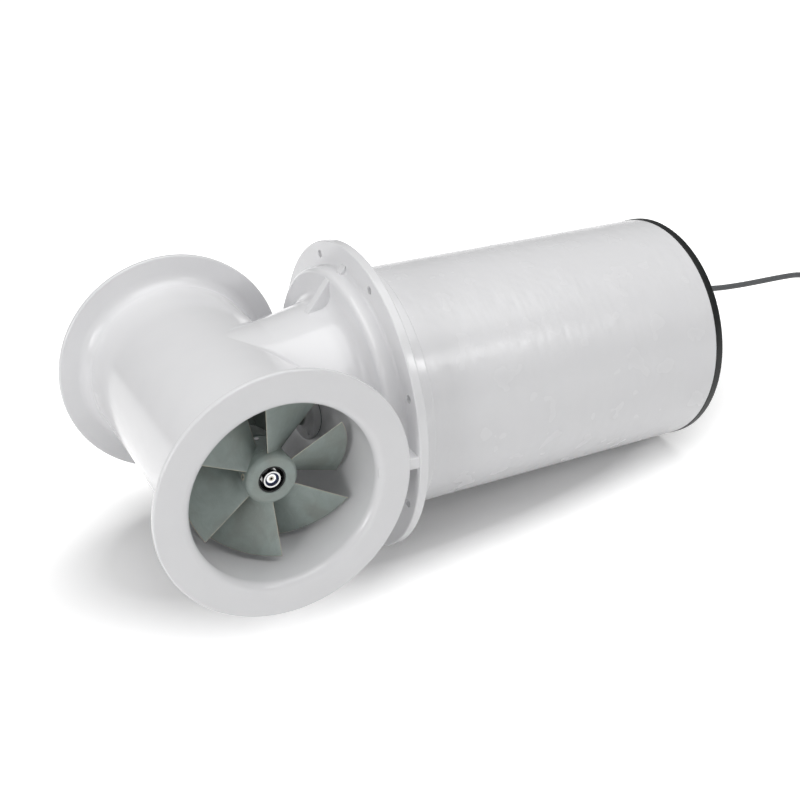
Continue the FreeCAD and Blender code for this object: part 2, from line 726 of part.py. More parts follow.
# ---------------------------------------------------------------- bevel gears
def build_bevel_gear(label, axis, teeth, mate_teeth, blank, tooth_offset):
    """A straight bevel gear: a turned blank and lofted teeth that taper to the crossing.

    The pitch cone's apex is the crossing of the axes. Each tooth is a loft between the same
    outline at the outer and the inner end of the face, scaled by their distances to the apex.
    """
    body = turned(label, axis, blank)
    cone = math.atan2(teeth, mate_teeth)
    pitch_radius = s.gear_module * (teeth / 2)
    outer_distance = pitch_radius / math.sin(cone)
    inner_distance = outer_distance - s.tooth_face
    sections = []
    for distance in (outer_distance, inner_distance):
        shrink = distance / outer_distance
        half_pitch = (s.gear_module * (math.pi / 4) - s.tooth_backlash / 2) * shrink
        tip = s.gear_module * 0.95 * shrink
        root = -1.35 * s.gear_module * shrink
        slope = math.tan(math.radians(21))
        sketch = body.newObject("Sketcher::SketchObject", "ToothSection")
        sketch.AttachmentSupport = [(origin_part(body, "XY_Plane"), "")]
        sketch.MapMode = "FlatFace"
        sketch.AttachmentOffset = tooth_plane(axis, cone, number(distance), tooth_offset)
        draw_outline(sketch, [
            (-(half_pitch - root * (slope * 0.75)), root),
            (-half_pitch, 0),
            (-(half_pitch - tip * (slope * 1.15)), tip),
            (half_pitch - tip * (slope * 1.15), tip),
            (half_pitch, 0),
            (half_pitch - root * (slope * 0.75), root),
        ])
        sections.append(sketch)
    before = feature_volume(body)
    tooth = body.newObject("PartDesign::AdditiveLoft", "Tooth")
    tooth.Profile = sections[0]
    tooth.Sections = [sections[1]]
    tooth.Ruled = True
    changed(body, before, tooth)
    polar(body, [tooth], axis, teeth)
    return body


def tooth_plane(axis, cone, distance, turn_by):
    """Placement of a tooth section: square to the pitch cone, its up side away from the axis."""
    spin = FreeCAD.Rotation(axis_direction(axis), turn_by)
    along = axis_direction(axis)
    outward = FreeCAD.Vector(0, 0, 1)
    centre = along * (distance * math.cos(cone)) + outward * (distance * math.sin(cone))
    up = outward * math.cos(cone) - along * math.sin(cone)
    element = outward * math.sin(cone) + along * math.cos(cone)
    side = up.cross(element)
    matrix = FreeCAD.Matrix(
        side.x, up.x, element.x, 0,
        side.y, up.y, element.y, 0,
        side.z, up.z, element.z, 0,
        0, 0, 0, 1,
    )
    rotation = spin.multiply(FreeCAD.Placement(matrix).Rotation)
    return FreeCAD.Placement(spin.multVec(centre), rotation)


def axis_direction(axis):
    return FreeCAD.Vector(1, 0, 0) if axis == "X" else FreeCAD.Vector(0, 1, 0)


def build_gears():
    """Pinion on the drive shaft and crown gear on the propeller shaft, meshing at rest."""
    cone = math.atan2(PINION_TEETH, CROWN_TEETH)
    root = 1.3 * s.gear_module
    root_across = root * math.cos(cone)
    root_along = root * math.sin(cone)
    inner = 1 - s.tooth_face / (crown_pitch / math.cos(cone))
    pinion_bore = s.drive_shaft_radius + s.fit_gap
    build_bevel_gear("bevel_pinion", "Y", PINION_TEETH, CROWN_TEETH, [
        (pinion_bore, (crown_pitch + root_along) * inner),
        ((pinion_pitch - root_across) * inner, (crown_pitch + root_along) * inner),
        (pinion_pitch - root_across, crown_pitch + root_along),
        (pinion_pitch - root_across, lower_bearing_start - s.fit_gap),
        (pinion_bore, lower_bearing_start - s.fit_gap),
    ], 90.0)
    crown_bore = s.prop_shaft_radius + s.fit_gap
    build_bevel_gear("crown_gear", "X", CROWN_TEETH, PINION_TEETH, [
        (crown_bore, (pinion_pitch + root_across) * inner),
        ((crown_pitch - root_along) * inner, (pinion_pitch + root_across) * inner),
        (crown_pitch - root_along, pinion_pitch + root_across),
        (crown_pitch - root_along, pinion_pitch + root_across + 2.0),
        (crown_hub, pinion_pitch + root_across + 3.5),
        (crown_hub, chamber_end - s.fit_gap),
        (crown_bore, chamber_end - s.fit_gap),
    ], -90.0 + 180.0 / CROWN_TEETH)


# ---------------------------------------------------------------- propeller
def blade_section(body, part):
    """A blade's outline in one plane through the axis, part of the way from back to front.

    The back and front edges lie at different places along the axis at the hub and at the tip, so
    the pitch grows outwards, and the blade is thickest half way between them.
    """
    root = s.hub_back + s.trailing_root + (s.leading_root - s.trailing_root) * part
    tip = s.hub_back + s.trailing_tip + (s.leading_tip - s.trailing_tip) * part
    swell = 4 * part * (1 - part)
    edge = s.blade_edge_thickness
    half_root = (edge + (s.blade_root_thickness - edge) * swell) / 2
    half_tip = (edge + (s.blade_tip_thickness - edge) * swell) / 2
    section = new_sketch(body, "XY_Plane")
    draw_outline(section, [
        (root - half_root, s.hub_radius - 2.0),
        (root + half_root, s.hub_radius - 2.0),
        (tip + half_tip, s.blade_tip),
        (tip - half_tip, s.blade_tip),
    ])
    angle = FIRST_BLADE - s.blade_sweep.value * (1 - part)
    section.AttachmentOffset = FreeCAD.Placement(
        FreeCAD.Vector(0, 0, 0), FreeCAD.Rotation(FreeCAD.Vector(1, 0, 0), angle))
    return section


def build_propeller():
    """Six lofted blades on a hub, with a groove behind its nose and a hole for the lock pin."""
    bore = s.prop_shaft_radius + s.fit_gap
    groove = hub_front - 13.0
    body = turned("propeller", "X", [
        (bore, s.hub_back),
        (s.hub_radius, s.hub_back, 1.0),
        (s.hub_radius, groove),
        (s.hub_radius - 0.7, groove),
        (s.hub_radius - 0.7, groove + 0.8),
        (s.hub_radius, groove + 0.8),
        (s.hub_radius, hub_front, s.hub_rounding),
        (s.hub_recess_radius, hub_front, 0.8),
        (s.hub_recess_radius, hub_front - s.hub_recess_depth),
        (bore, hub_front - s.hub_recess_depth),
    ])
    parts = [step / (BLADE_SECTIONS - 1) for step in range(BLADE_SECTIONS)]
    sections = [blade_section(body, part) for part in parts]
    before = feature_volume(body)
    blade = body.newObject("PartDesign::AdditiveLoft", "Blade")
    blade.Profile = sections[0]
    blade.Sections = sections[1:]
    changed(body, before, blade)
    polar(body, [blade], "X", BLADE_COUNT)
    extrude(body, "Pocket", "XY_Plane", -s.hub_radius - 2, s.hub_radius + 2,
            circles=[(pin_station, 0, drive_pin + s.fit_gap)])
    drill_lock_hole(body)


def drill_lock_hole(body):
    """A small hole through the hub's side into the nut recess."""
    spin = FreeCAD.Rotation(FreeCAD.Vector(1, 0, 0), LOCK_HOLE_ANGLE - 90)
    start = number(s.hub_radius + 1.0)
    sketch = new_sketch(body, "XY_Plane")
    draw_circle(sketch, lock_station, 0, lock_hole)
    sketch.AttachmentOffset = FreeCAD.Placement(
        spin.multVec(FreeCAD.Vector(0, 0, start)), spin)
    before = feature_volume(body)
    hole = body.newObject("PartDesign::Pocket", "LockHole")
    hole.Profile = sketch
    hole.Type = 0
    hole.setExpression("Length", (s.hub_radius - s.hub_recess_radius + 3.0).text)
    changed(body, before, hole)


def build_propeller_shaft():
    """Shaft from the crown gear to the nut, with its threaded end and centre hole."""
    shoulder = hub_front - s.hub_recess_depth
    shaft = turned("propeller_shaft", "X", [
        (0, shaft_inner_end),
        (s.prop_shaft_radius, shaft_inner_end, 0.8),
        (s.prop_shaft_radius, shoulder - 0.5),
        (nut_thread, shoulder - 0.5),
        (nut_thread, shaft_outer_end, 0.8),
        (1.2, shaft_outer_end),
        (0, shaft_outer_end - 2.0),
    ])
    extrude(shaft, "Pocket", "XY_Plane", -s.hub_radius, s.hub_radius,
            circles=[(pin_station, 0, drive_pin + s.fit_gap)])
    pin = new_body("drive_pin")
    extrude(pin, "Pad", "XY_Plane", -s.hub_radius - 0.6, s.hub_radius + 0.6,
            circles=[(pin_station, 0, drive_pin)])
    thread = nut_thread + s.fit_gap
    cup = s.hub_recess_radius - 2 * s.fit_gap
    turned("propeller_washer", "X", [
        (thread, shoulder),
        (cup, shoulder),
        (cup, hub_front - 1.0),
        (cup - 1.4, hub_front - 1.0, 0.4),
        (cup - 1.4, shoulder + 2.0),
        (thread, shoulder + 2.0),
    ])
    nut = new_body("propeller_nut")
    extrude(nut, "Pad", "YZ_Plane", shoulder + 2.0, collar_start,
            outlines=[hexagon(0, 0, 17.0)], circles=[(0, 0, thread)])
    extrude(nut, "Pad", "YZ_Plane", collar_start, hub_front - 0.5,
            circles=[(0, 0, nut_collar), (0, 0, nut_collar - 1.5)])
    ring("nut_insert", "X", thread, nut_collar - 1.5 - s.fit_gap, collar_start,
         hub_front - 3.5)


# ---------------------------------------------------------------- drive line to the motor
def build_drive_line():
    """Upright shaft, its bearings and seal, and the jaw coupling up to the motor shaft."""
    turned("drive_shaft", "Y", [
        (0, crown_pitch * 0.66),
        (s.drive_shaft_radius, crown_pitch * 0.66, 0.8),
        (s.drive_shaft_radius, coupling_middle - 3.0, 0.8),
        (0, coupling_middle - 3.0),
    ])
    build_bearing("lower_drive_bearing", "Y", drive_bearing, s.drive_shaft_radius,
                  lower_bearing_start)
    build_bearing("upper_drive_bearing", "Y", drive_bearing, s.drive_shaft_radius,
                  upper_bearing_start)
    build_lip_seal("drive_shaft_seal", "Y", drive_bearing, s.drive_shaft_radius,
                   upper_bearing_start + drive_bearing.width, pad_top)
    build_bearing("inner_propeller_bearing", "X", inner_bearing, s.prop_shaft_radius,
                  chamber_end)
    build_bearing("nose_bearing", "X", nose_bearing, s.prop_shaft_radius, nose_bearing_start)
    build_lip_seal("propeller_shaft_seal", "X", nose_bearing, s.prop_shaft_radius,
                   nose_bearing_start + nose_bearing.width, s.nose_face)
    build_coupling("leg_coupling", s.drive_shaft_radius, coupling_start, coupling_middle - 4.0,
                   coupling_middle + 3.0, 0.0)
    build_coupling("motor_coupling", s.motor_shaft_radius, coupling_middle + 4.0,
                   motor_front - 0.5, coupling_middle - 3.0, 60.0)
    spider = new_body("coupling_spider")
    hub = extrude(spider, "Pad", "XZ_Plane", coupling_middle - 3.0, coupling_middle + 3.0,
                  circles=[(0, 0, 9.0)])
    leg = extrude(spider, "Pad", "XZ_Plane", coupling_middle - 3.0, coupling_middle + 3.0,
                  outlines=[[(8.0, -1.7), (18.5, -4.1), (18.5, 4.1), (8.0, 1.7)]])
    polar(spider, [leg], "Y", 6)
    return hub


def build_coupling(label, shaft, start, end, jaw_end, first_angle):
    """One hub of the jaw coupling, with three jaws that reach between the spider's legs."""
    body = ring(label, "Y", shaft + s.fit_gap, coupling_radius, start, end, 1.0)
    near, far = (end, jaw_end) if number(jaw_end) > number(end) else (jaw_end, start)
    jaw_low, jaw_high = at_angle(1.0, first_angle + 30 - 17), at_angle(1.0, first_angle + 30 + 17)
    inner, outer = 10.5, coupling_radius - 1.0
    jaw = extrude(body, "Pad", "XZ_Plane", near, far, outlines=[[
        (inner * jaw_low[0], inner * jaw_low[1]),
        (outer * jaw_low[0], outer * jaw_low[1]),
        (outer * jaw_high[0], outer * jaw_high[1]),
        (inner * jaw_high[0], inner * jaw_high[1]),
    ]])
    polar(body, [jaw], "Y", 3)
    return body


# ---------------------------------------------------------------- motor
def build_motor_bracket():
    """Cast stand that carries the motor on the housing pad and spans the coupling."""
    foot = s.saddle_radius + 1.5 * s.shell_wall
    body = turned("motor_bracket", "Y", [
        (coupling_radius + 1.0, pad_top),
        (foot, pad_top, 1.0),
        (foot, bracket_base),
        (foot - 1.0, bracket_plate, 3.0),
        (plate_radius, bracket_plate, 1.0),
        (plate_radius, motor_front - s.fit_gap, 1.0),
        (foot - s.shell_wall, motor_front - s.fit_gap),
        (foot - s.shell_wall, bracket_base),
        (coupling_radius + 1.0, bracket_base),
    ])
    hole = extrude(body, "Pocket", "XZ_Plane", pad_top, bracket_base,
                   circles=[(*at_angle(leg_bolt_circle, 45), leg_bolt + 4 * s.fit_gap)])
    polar(body, [hole], "Y", 4)
    motor_hole = extrude(body, "Pocket", "XZ_Plane", bracket_plate, motor_front,
                         circles=[(*at_angle(motor_bolt_circle, 0), leg_bolt + 4 * s.fit_gap)])
    polar(body, [motor_hole], "Y", 4)
    bolt_set("leg_bolts", leg_bolt_circle, 45, 4, leg_bolt, s.bore_radius - s.saddle_depth + 3.0,
             bracket_base, 10.0, bracket_base + 4.0)
    bolt_set("motor_bolts", motor_bolt_circle, 0, 4, leg_bolt, bracket_plate,
             motor_front + 12.0, 10.0, bracket_plate - 4.0)


def build_motor_case():
    """Steel yoke between two cast end bells, held together by four long bolts."""
    ring("motor_yoke", "Y", yoke_bore, s.motor_radius, yoke_start, yoke_end, 0.8)
    front_pocket = front_motor_bearing.outer + s.fit_gap
    front = turned("front_end_bell", "Y", [
        (s.motor_shaft_radius + 4.0, motor_front),
        (s.motor_radius, motor_front, 6.0),
        (s.motor_radius, yoke_start),
        (yoke_bore - s.fit_gap, yoke_start),
        (yoke_bore - s.fit_gap, yoke_start + 4.0),
        (yoke_bore - s.shell_wall, yoke_start + 4.0),
        (yoke_bore - s.shell_wall, yoke_start - 8.0),
        (front_pocket + s.shell_wall, yoke_start - 8.0),
        (front_pocket + s.shell_wall, yoke_start),
        (front_pocket, yoke_start),
        (front_pocket, yoke_start - front_motor_bearing.width),
        (s.motor_shaft_radius + 4.0, yoke_start - front_motor_bearing.width),
    ])
    drill_through_bolts(front, motor_front, yoke_start + 4.0)
    tapped = extrude(front, "Pocket", "XZ_Plane", motor_front, yoke_start,
                     circles=[(*at_angle(motor_bolt_circle, 0), leg_bolt + s.fit_gap)])
    polar(front, [tapped], "Y", 4)
    rear_pocket = rear_motor_bearing.outer + s.fit_gap
    rear = turned("rear_end_bell", "Y", [
        (0, motor_back),
        (s.motor_radius, motor_back, 6.0),
        (s.motor_radius, yoke_end),
        (yoke_bore - s.fit_gap, yoke_end),
        (yoke_bore - s.fit_gap, yoke_end - 4.0),
        (yoke_bore - s.shell_wall, yoke_end - 4.0),
        (yoke_bore - s.shell_wall, yoke_end + 8.0),
        (rear_pocket + s.shell_wall, yoke_end + 8.0),
        (rear_pocket + s.shell_wall, yoke_end),
        (rear_pocket, yoke_end),
        (rear_pocket, yoke_end + rear_motor_bearing.width),
        (0, yoke_end + rear_motor_bearing.width),
    ])
    drill_through_bolts(rear, yoke_end - 4.0, motor_back)
    build_bearing("front_motor_bearing", "Y", front_motor_bearing, s.motor_shaft_radius,
                  yoke_start - front_motor_bearing.width)
    build_bearing("rear_motor_bearing", "Y", rear_motor_bearing, rear_journal, yoke_end)
    bolt_set("through_bolts", through_bolt_circle, 45, 4, leg_bolt, motor_front + 1.0,
             motor_back, 10.0, motor_back + 4.0)


def drill_through_bolts(body, low, high):
    hole = extrude(body, "Pocket", "XZ_Plane", low, high,
                   circles=[(*at_angle(through_bolt_circle, 45), leg_bolt + 4 * s.fit_gap)])
    polar(body, [hole], "Y", 4)


def build_armature():
    """Shaft, slotted core with its winding ends, and commutator, turning as one."""
    turned("armature_shaft", "Y", [
        (0, coupling_middle + 3.5),
        (s.motor_shaft_radius, coupling_middle + 3.5, 1.0),
        (s.motor_shaft_radius, yoke_end - 2.0),
        (rear_journal, yoke_end - 2.0),
        (rear_journal, yoke_end + rear_motor_bearing.width - 1.0, 0.8),
        (0, yoke_end + rear_motor_bearing.width - 1.0),
    ])
    grip = s.motor_shaft_radius + s.fit_gap
    core = ring("armature_core", "Y", grip, s.armature_radius, core_start, core_end)
    slot = extrude(core, "Pocket", "XZ_Plane", core_start, core_end, outlines=[[
        (-1.5, s.armature_radius - 9.0),
        (1.5, s.armature_radius - 9.0),
        (1.5, s.armature_radius + 1.0),
        (-1.5, s.armature_radius + 1.0),
    ]])
    polar(core, [slot], "Y", 12)
    for label, start, end in (
        ("front_winding", core_start - 16.0, core_start - s.fit_gap),
        ("rear_winding", core_end + s.fit_gap, commutator_start - s.fit_gap),
    ):
        ring(label, "Y", grip, s.armature_radius - 7.0, start, end, 4.0)
    bars = ring("commutator", "Y", grip, s.commutator_radius, commutator_start,
                commutator_end, 1.0)
    gap = extrude(bars, "Pocket", "XZ_Plane", commutator_start, commutator_end, outlines=[[
        (-0.4, s.commutator_radius - 3.0),
        (0.4, s.commutator_radius - 3.0),
        (0.4, s.commutator_radius + 1.0),
        (-0.4, s.commutator_radius + 1.0),
    ]])
    polar(bars, [gap], "Y", 16)


def build_stator():
    """Four arc magnets in the yoke, and the brush ring with its brushes."""
    magnets = new_body("field_magnets")
    sketch = new_sketch(magnets, "XY_Plane")
    draw_outline(sketch, ring_corners(magnet_inside, yoke_bore - s.fit_gap, core_start - 4.0,
                                      core_end + 4.0, 1.0))
    sketch.AttachmentOffset = FreeCAD.Placement(
        FreeCAD.Vector(0, 0, 0), FreeCAD.Rotation(FreeCAD.Vector(0, 1, 0), -MAGNET_ARC / 2))
    arc = magnets.newObject("PartDesign::Revolution", "MagnetArc")
    arc.Profile = sketch
    arc.ReferenceAxis = (origin_part(magnets, "Y_Axis"), [""])
    arc.Angle = MAGNET_ARC
    changed(magnets, 0.0, arc)
    polar(magnets, [arc], "Y", 4)
    plate_start = commutator_end - 6.0
    plate = ring("brush_ring", "Y", s.commutator_radius + 4.0, yoke_bore - s.fit_gap,
                 plate_start, plate_start + 4.0)
    drill_through_bolts(plate, plate_start, plate_start + 4.0)
    brushes = new_body("brushes")
    block = extrude(brushes, "Pad", "XZ_Plane", plate_start - 12.0, plate_start, outlines=[[
        (s.commutator_radius + s.fit_gap * 6, -5.0),
        (s.commutator_radius + 18.0, -5.0),
        (s.commutator_radius + 18.0, 5.0),
        (s.commutator_radius + s.fit_gap * 6, 5.0),
    ]])
    polar(brushes, [block], "Y", 4)


def build_switchgear():
    """Contactor, control unit and terminals on a plate behind the motor."""
    plate_start = motor_back + 4.0
    plate_end = plate_start + 3.0
    plate_half = s.motor_radius * 0.775
    plate = new_body("switchgear_plate")
    extrude(plate, "Pad", "XZ_Plane", plate_start, plate_end, outlines=[[
        (-plate_half, -plate_half, 6.0),
        (plate_half, -plate_half, 6.0),
        (plate_half, plate_half, 6.0),
        (-plate_half, plate_half, 6.0),
    ]])
    low = -(s.motor_radius * 0.55)
    left, right, top = -(s.motor_radius * 0.65), s.motor_radius * 0.1, s.motor_radius * 0.375
    contactor_top = plate_end + s.motor_radius * 0.65
    contactor = new_body("contactor")
    extrude(contactor, "Pad", "XZ_Plane", plate_end, contactor_top, outlines=[[
        (left, low, 3.0), (right, low, 3.0), (right, top, 3.0), (left, top, 3.0)]])
    unit_left, unit_right = s.motor_radius * 0.2, s.motor_radius * 0.675
    unit = new_body("control_unit")
    extrude(unit, "Pad", "XZ_Plane", plate_end, plate_end + s.motor_radius * 0.35, outlines=[[
        (unit_left, low, 3.0),
        (unit_right, low, 3.0),
        (unit_right, -low, 3.0),
        (unit_left, -low, 3.0),
    ]])
    stud = s.motor_radius * 0.05
    upper, lower = s.motor_radius * 0.125, -(s.motor_radius * 0.3)
    outer, inner = -(s.motor_radius * 0.475), -(s.motor_radius * 0.075)
    studs = new_body("terminal_studs")
    extrude(studs, "Pad", "XZ_Plane", contactor_top, contactor_top + 3.5 * stud, circles=[
        (outer, upper, stud), (inner, upper, stud), (outer, lower, stud), (inner, lower, stud)])
    bars = new_body("bus_bars")
    extrude(bars, "Pad", "XZ_Plane", contactor_top, contactor_top + 3.0, outlines=[
        [
            (place - 2 * stud, upper - 1.5 * stud),
            (place + 2 * stud, upper - 1.5 * stud),
            (place + 2 * stud, upper + 1.5 * stud),
            (place - 2 * stud, upper + 1.5 * stud),
        ]
        for place in (outer, inner)
    ], circles=[(outer, upper, stud + s.fit_gap), (inner, upper, stud + s.fit_gap)])


# ---------------------------------------------------------------- control lead
def rest_height(station):
    """Height of the surface that the flange edge and the cap edge stand on, at a station."""
    rise = (s.flange_radius - s.tube_radius - s.cap_lip) / (cap_end - hull_setback)
    return number(-s.flange_radius + (station - hull_setback) * number(rise))


def rest_tilt():
    rise = rest_height(cap_end) - rest_height(hull_setback)
    return math.degrees(math.atan2(rise, number(cap_end - hull_setback)))


def lead_place(x, station, height):
    return FreeCAD.Vector(x, station - number(hull_setback), height)


def lead_path(label, places):
    """Straight runs joined by tangent arcs, each arc as large as its two runs allow."""
    edges = []
    radii = []
    start = places[0]
    for before, corner, after in zip(places, places[1:], places[2:]):
        inward = corner - before
        outward = after - corner
        half_turn = inward.getAngle(outward) / 2
        reach = 0.45 * min(inward.Length, outward.Length)
        radius = reach / math.tan(half_turn)
        radii.append(round(radius, 1))
        inward.normalize()
        outward.normalize()
        first = corner - inward * reach
        last = corner + outward * reach
        aside = (outward - inward).normalize()
        middle = corner + aside * (radius / math.cos(half_turn) - radius)
        edges.append(Part.LineSegment(start, first).toShape())
        edges.append(Part.Arc(first, middle, last).toShape())
        start = last
    edges.append(Part.LineSegment(start, places[-1]).toShape())
    print(f"{label}: arc radii {radii}")
    return Part.Wire(edges)


def build_lead_tube(label, places):
    """A length of lead: its round section swept along a path of runs and arcs."""
    path = lead_path(label, places)
    radius = number(s.cable_radius)
    circle = Part.Circle(places[0], places[1] - places[0], radius)
    section = Part.Wire([circle.toShape()])
    solid = path.makePipeShell([section], True, False)
    expected = math.pi * radius ** 2 * path.Length
    if abs(solid.Volume / expected - 1) > 0.002:
        raise RuntimeError(f"{label}: volume {solid.Volume:.0f} is not {expected:.0f}")
    print(f"{label}: length {path.Length:.1f}")
    lead = doc.addObject("Part::Feature", label)
    lead.Label = label
    lead.Shape = solid
    lead.Placement = FreeCAD.Placement()
    subparts.append(lead)


COIL_CENTRE = (2.0, 985.0)
LEAD_POINTS = [
    (0.0, 583.0, 36.0),
    (0.0, 613.0, 36.0),
    (0.0, 645.0, 31.0),
    (0.0, 682.0, 28.7),
    (0.0, 718.0, 27.9),
    (0.0, 752.0, 27.4),
    (-1.0, 786.0, 25.0),
    (-4.0, 816.0, 12.0),
    (-9.0, 836.0, -11.0),
    (-16.0, 854.0, -36.0),
    (-24.0, 875.0, -58.0),
    (-32.0, 901.0, -72.5),
    (-39.0, 930.0, -81.5),
    (-42.3, 959.0, -81.8),
    (-42.5, 983.0, -79.7),
]
TAIL_POINTS = [
    (46.5, 975.0, -87.4),
    (46.5, 959.0, -88.8),
    (46.9, 941.0, -85.0),
    (47.0, 925.0, -86.4),
]


def build_control_lead():
    """Lead from the cap to its coil, the coil, its tie, and the tail with its connector."""
    build_lead_tube("control_lead", [lead_place(*p) for p in LEAD_POINTS])
    build_lead_tube("lead_tail", [lead_place(*p) for p in TAIL_POINTS])
    tilt = FreeCAD.Rotation(FreeCAD.Vector(1, 0, 0), rest_tilt())
    surface = lead_place(*COIL_CENTRE, rest_height(COIL_CENTRE[1]))
    raised = tilt.multVec(FreeCAD.Vector(0, 0, number(s.tie_thickness + s.fit_gap)))
    outside = doc.addObject("Part::Cylinder", "CoilOutside")
    inside = doc.addObject("Part::Cylinder", "CoilInside")
    for cylinder, radius in ((outside, s.coil_outside), (inside, s.coil_inside)):
        cylinder.setExpression("Radius", radius.text)
        cylinder.setExpression("Height", s.coil_height.text)
    coil = doc.addObject("Part::Cut", "lead_coil")
    coil.Base = outside
    coil.Tool = inside
    coil.Label = "lead_coil"
    coil.Placement = FreeCAD.Placement(surface + raised, tilt)
    subparts.append(coil)
    half_width = 4.0
    near = math.sqrt(s.coil_inside.value ** 2 - half_width ** 2) - number(s.fit_gap)
    section = s.coil_outside + s.fit_gap - near
    tie = new_body("coil_tie", FreeCAD.Placement(surface, tilt))
    wall = s.tie_thickness
    extrude(tie, "Pad", "YZ_Plane", -half_width, half_width, outlines=[
        [
            (-(near + section + wall), 0, 1.0),
            (-(near - wall), 0, 1.0),
            (-(near - wall), s.coil_height + 2 * s.fit_gap + 2 * wall, 1.0),
            (-(near + section + wall), s.coil_height + 2 * s.fit_gap + 2 * wall, 1.0),
        ],
        [
            (-(near + section), wall),
            (-near, wall),
            (-near, s.coil_height + 2 * s.fit_gap + wall),
            (-(near + section), s.coil_height + 2 * s.fit_gap + wall),
        ],
    ])
    rear = lead_place(*TAIL_POINTS[-1])
    along = rear - lead_place(*TAIL_POINTS[-2])
    turned_to = FreeCAD.Rotation(FreeCAD.Vector(0, 1, 0), along)
    connector = new_body("lead_connector", FreeCAD.Placement(rear, turned_to))
    turn(connector, "Revolution", "Y", [
        (0, 0),
        (s.cable_radius + 1.2, 0),
        (s.cable_radius + 3.0, 22.0),
        (8.4, 23.5, 0.8),
        (8.4, 30.0),
        (10.0, 30.0, 0.8),
        (10.0, 42.0, 0.8),
        (8.6, 42.0),
        (8.6, 52.0, 0.6),
        (7.2, 52.0),
        (7.2, 44.0),
        (0, 44.0),
    ])


# ---------------------------------------------------------------- everything, checked and written
build_tunnel_housing()
build_motor_tube()
build_end_cap()
build_cable_gland()
build_gear_leg()
build_gearcase_cover()
build_leg_gasket()
build_gears()
build_propeller()
build_propeller_shaft()
build_drive_line()
build_motor_bracket()
build_motor_case()
build_armature()
build_stator()
build_switchgear()
build_control_lead()
doc.recompute()

for item in doc.Objects:
    if "Invalid" in item.State or "Error" in item.State:
        raise RuntimeError(f"{item.Label} did not rebuild: {item.State}")
for piece in subparts:
    if piece.Shape.isNull() or not piece.Shape.isValid():
        raise RuntimeError(f"{piece.Label} has no valid shape")

os.makedirs("parts", exist_ok=True)
for piece in subparts:
    piece.Shape.exportStep(f"parts/{piece.Label}.step")
    print(f"{piece.Label}: {piece.Shape.Volume:.0f} mm3, {len(piece.Shape.Solids)} solid(s)")
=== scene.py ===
# %% [markdown]
# # A tunnel thruster, dressed for its portrait
# A bow thruster pushes a boat's bow sideways. This one hangs under the hull: a short white tunnel
# with a propeller in it, joined to a flange that bolts to the hull, and behind the flange a sealed
# tube with the motor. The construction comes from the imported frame, which is loaded first. This
# script adds what the construction leaves plain: smooth moulded surfaces, finishes, the grey
# lead with its coil, the floor and the light.

# %% Load the frame
import json
import math
from contextlib import contextmanager
import bmesh
import bpy
import numpy as np
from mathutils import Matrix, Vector


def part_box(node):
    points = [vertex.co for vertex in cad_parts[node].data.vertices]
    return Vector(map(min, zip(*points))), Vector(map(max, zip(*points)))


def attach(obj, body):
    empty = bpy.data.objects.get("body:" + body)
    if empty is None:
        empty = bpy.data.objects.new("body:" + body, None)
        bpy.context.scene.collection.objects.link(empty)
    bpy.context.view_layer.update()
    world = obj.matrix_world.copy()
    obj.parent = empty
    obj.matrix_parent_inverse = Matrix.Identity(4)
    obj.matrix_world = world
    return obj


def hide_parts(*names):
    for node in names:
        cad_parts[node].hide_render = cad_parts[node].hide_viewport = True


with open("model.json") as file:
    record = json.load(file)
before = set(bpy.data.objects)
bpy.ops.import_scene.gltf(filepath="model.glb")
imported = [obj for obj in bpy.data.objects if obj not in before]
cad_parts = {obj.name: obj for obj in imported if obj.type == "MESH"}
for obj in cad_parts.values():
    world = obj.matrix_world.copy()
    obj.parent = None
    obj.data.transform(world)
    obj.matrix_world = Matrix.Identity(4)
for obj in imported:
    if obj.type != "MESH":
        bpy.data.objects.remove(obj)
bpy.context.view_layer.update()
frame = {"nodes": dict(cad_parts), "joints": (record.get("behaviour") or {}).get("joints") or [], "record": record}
MM = 0.001
BODY_OF = {
    node: body
    for body, nodes in frame["record"]["behaviour"]["bodies"].items()
    for node in nodes
}
SLOT_OF = {part["node"]: part["material_slot"] for part in frame["record"]["subparts"]}

# %% [markdown]
# ## Where things are
# The frame's origin is the centre of the flange's back face. The tunnel's axis runs along X and
# crosses the motor's axis, which is Y, in front of the flange. That crossing is where every
# turned surface is measured from, so its place is read from the propeller's joint.

# %% Stations read from the frame
CROSSING = Vector(frame["joints"][1]["pos_m"])
CROSSING_Y = CROSSING.y
CAP_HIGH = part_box("end_cap")[1]
FLANGE_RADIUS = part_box("tunnel_housing")[1].z
REST_RISE = (FLANGE_RADIUS - CAP_HIGH.z) / CAP_HIGH.y
REST_TILT = math.atan(REST_RISE)


def rest_height(y):
    """Height of the surface that the flange's edge and the cap's edge stand on."""
    return -FLANGE_RADIUS + REST_RISE * y


print("crossing at y", round(CROSSING_Y, 4), "tilt", round(math.degrees(REST_TILT), 2))

# %% [markdown]
# ## The camera
# A product portrait taken from above and in front of the near mouth. The lens is a short
# telephoto, and its small shift places the thruster in the frame without turning the camera.

# %% Camera
camera_data = bpy.data.cameras.new("camera")
camera_data.sensor_width = 36.0
camera_data.lens = 54.51
camera_data.shift_x = -0.0211
camera_data.shift_y = 0.0436
camera = bpy.data.objects.new("camera", camera_data)
camera.location = (1.05445, -0.49983, 0.57968)
camera.rotation_euler = [math.radians(turn) for turn in (61.625, -0.446, 61.589)]
bpy.context.scene.collection.objects.link(camera)
bpy.context.scene.camera = camera
print("camera lens", round(camera_data.lens, 2), "mm")
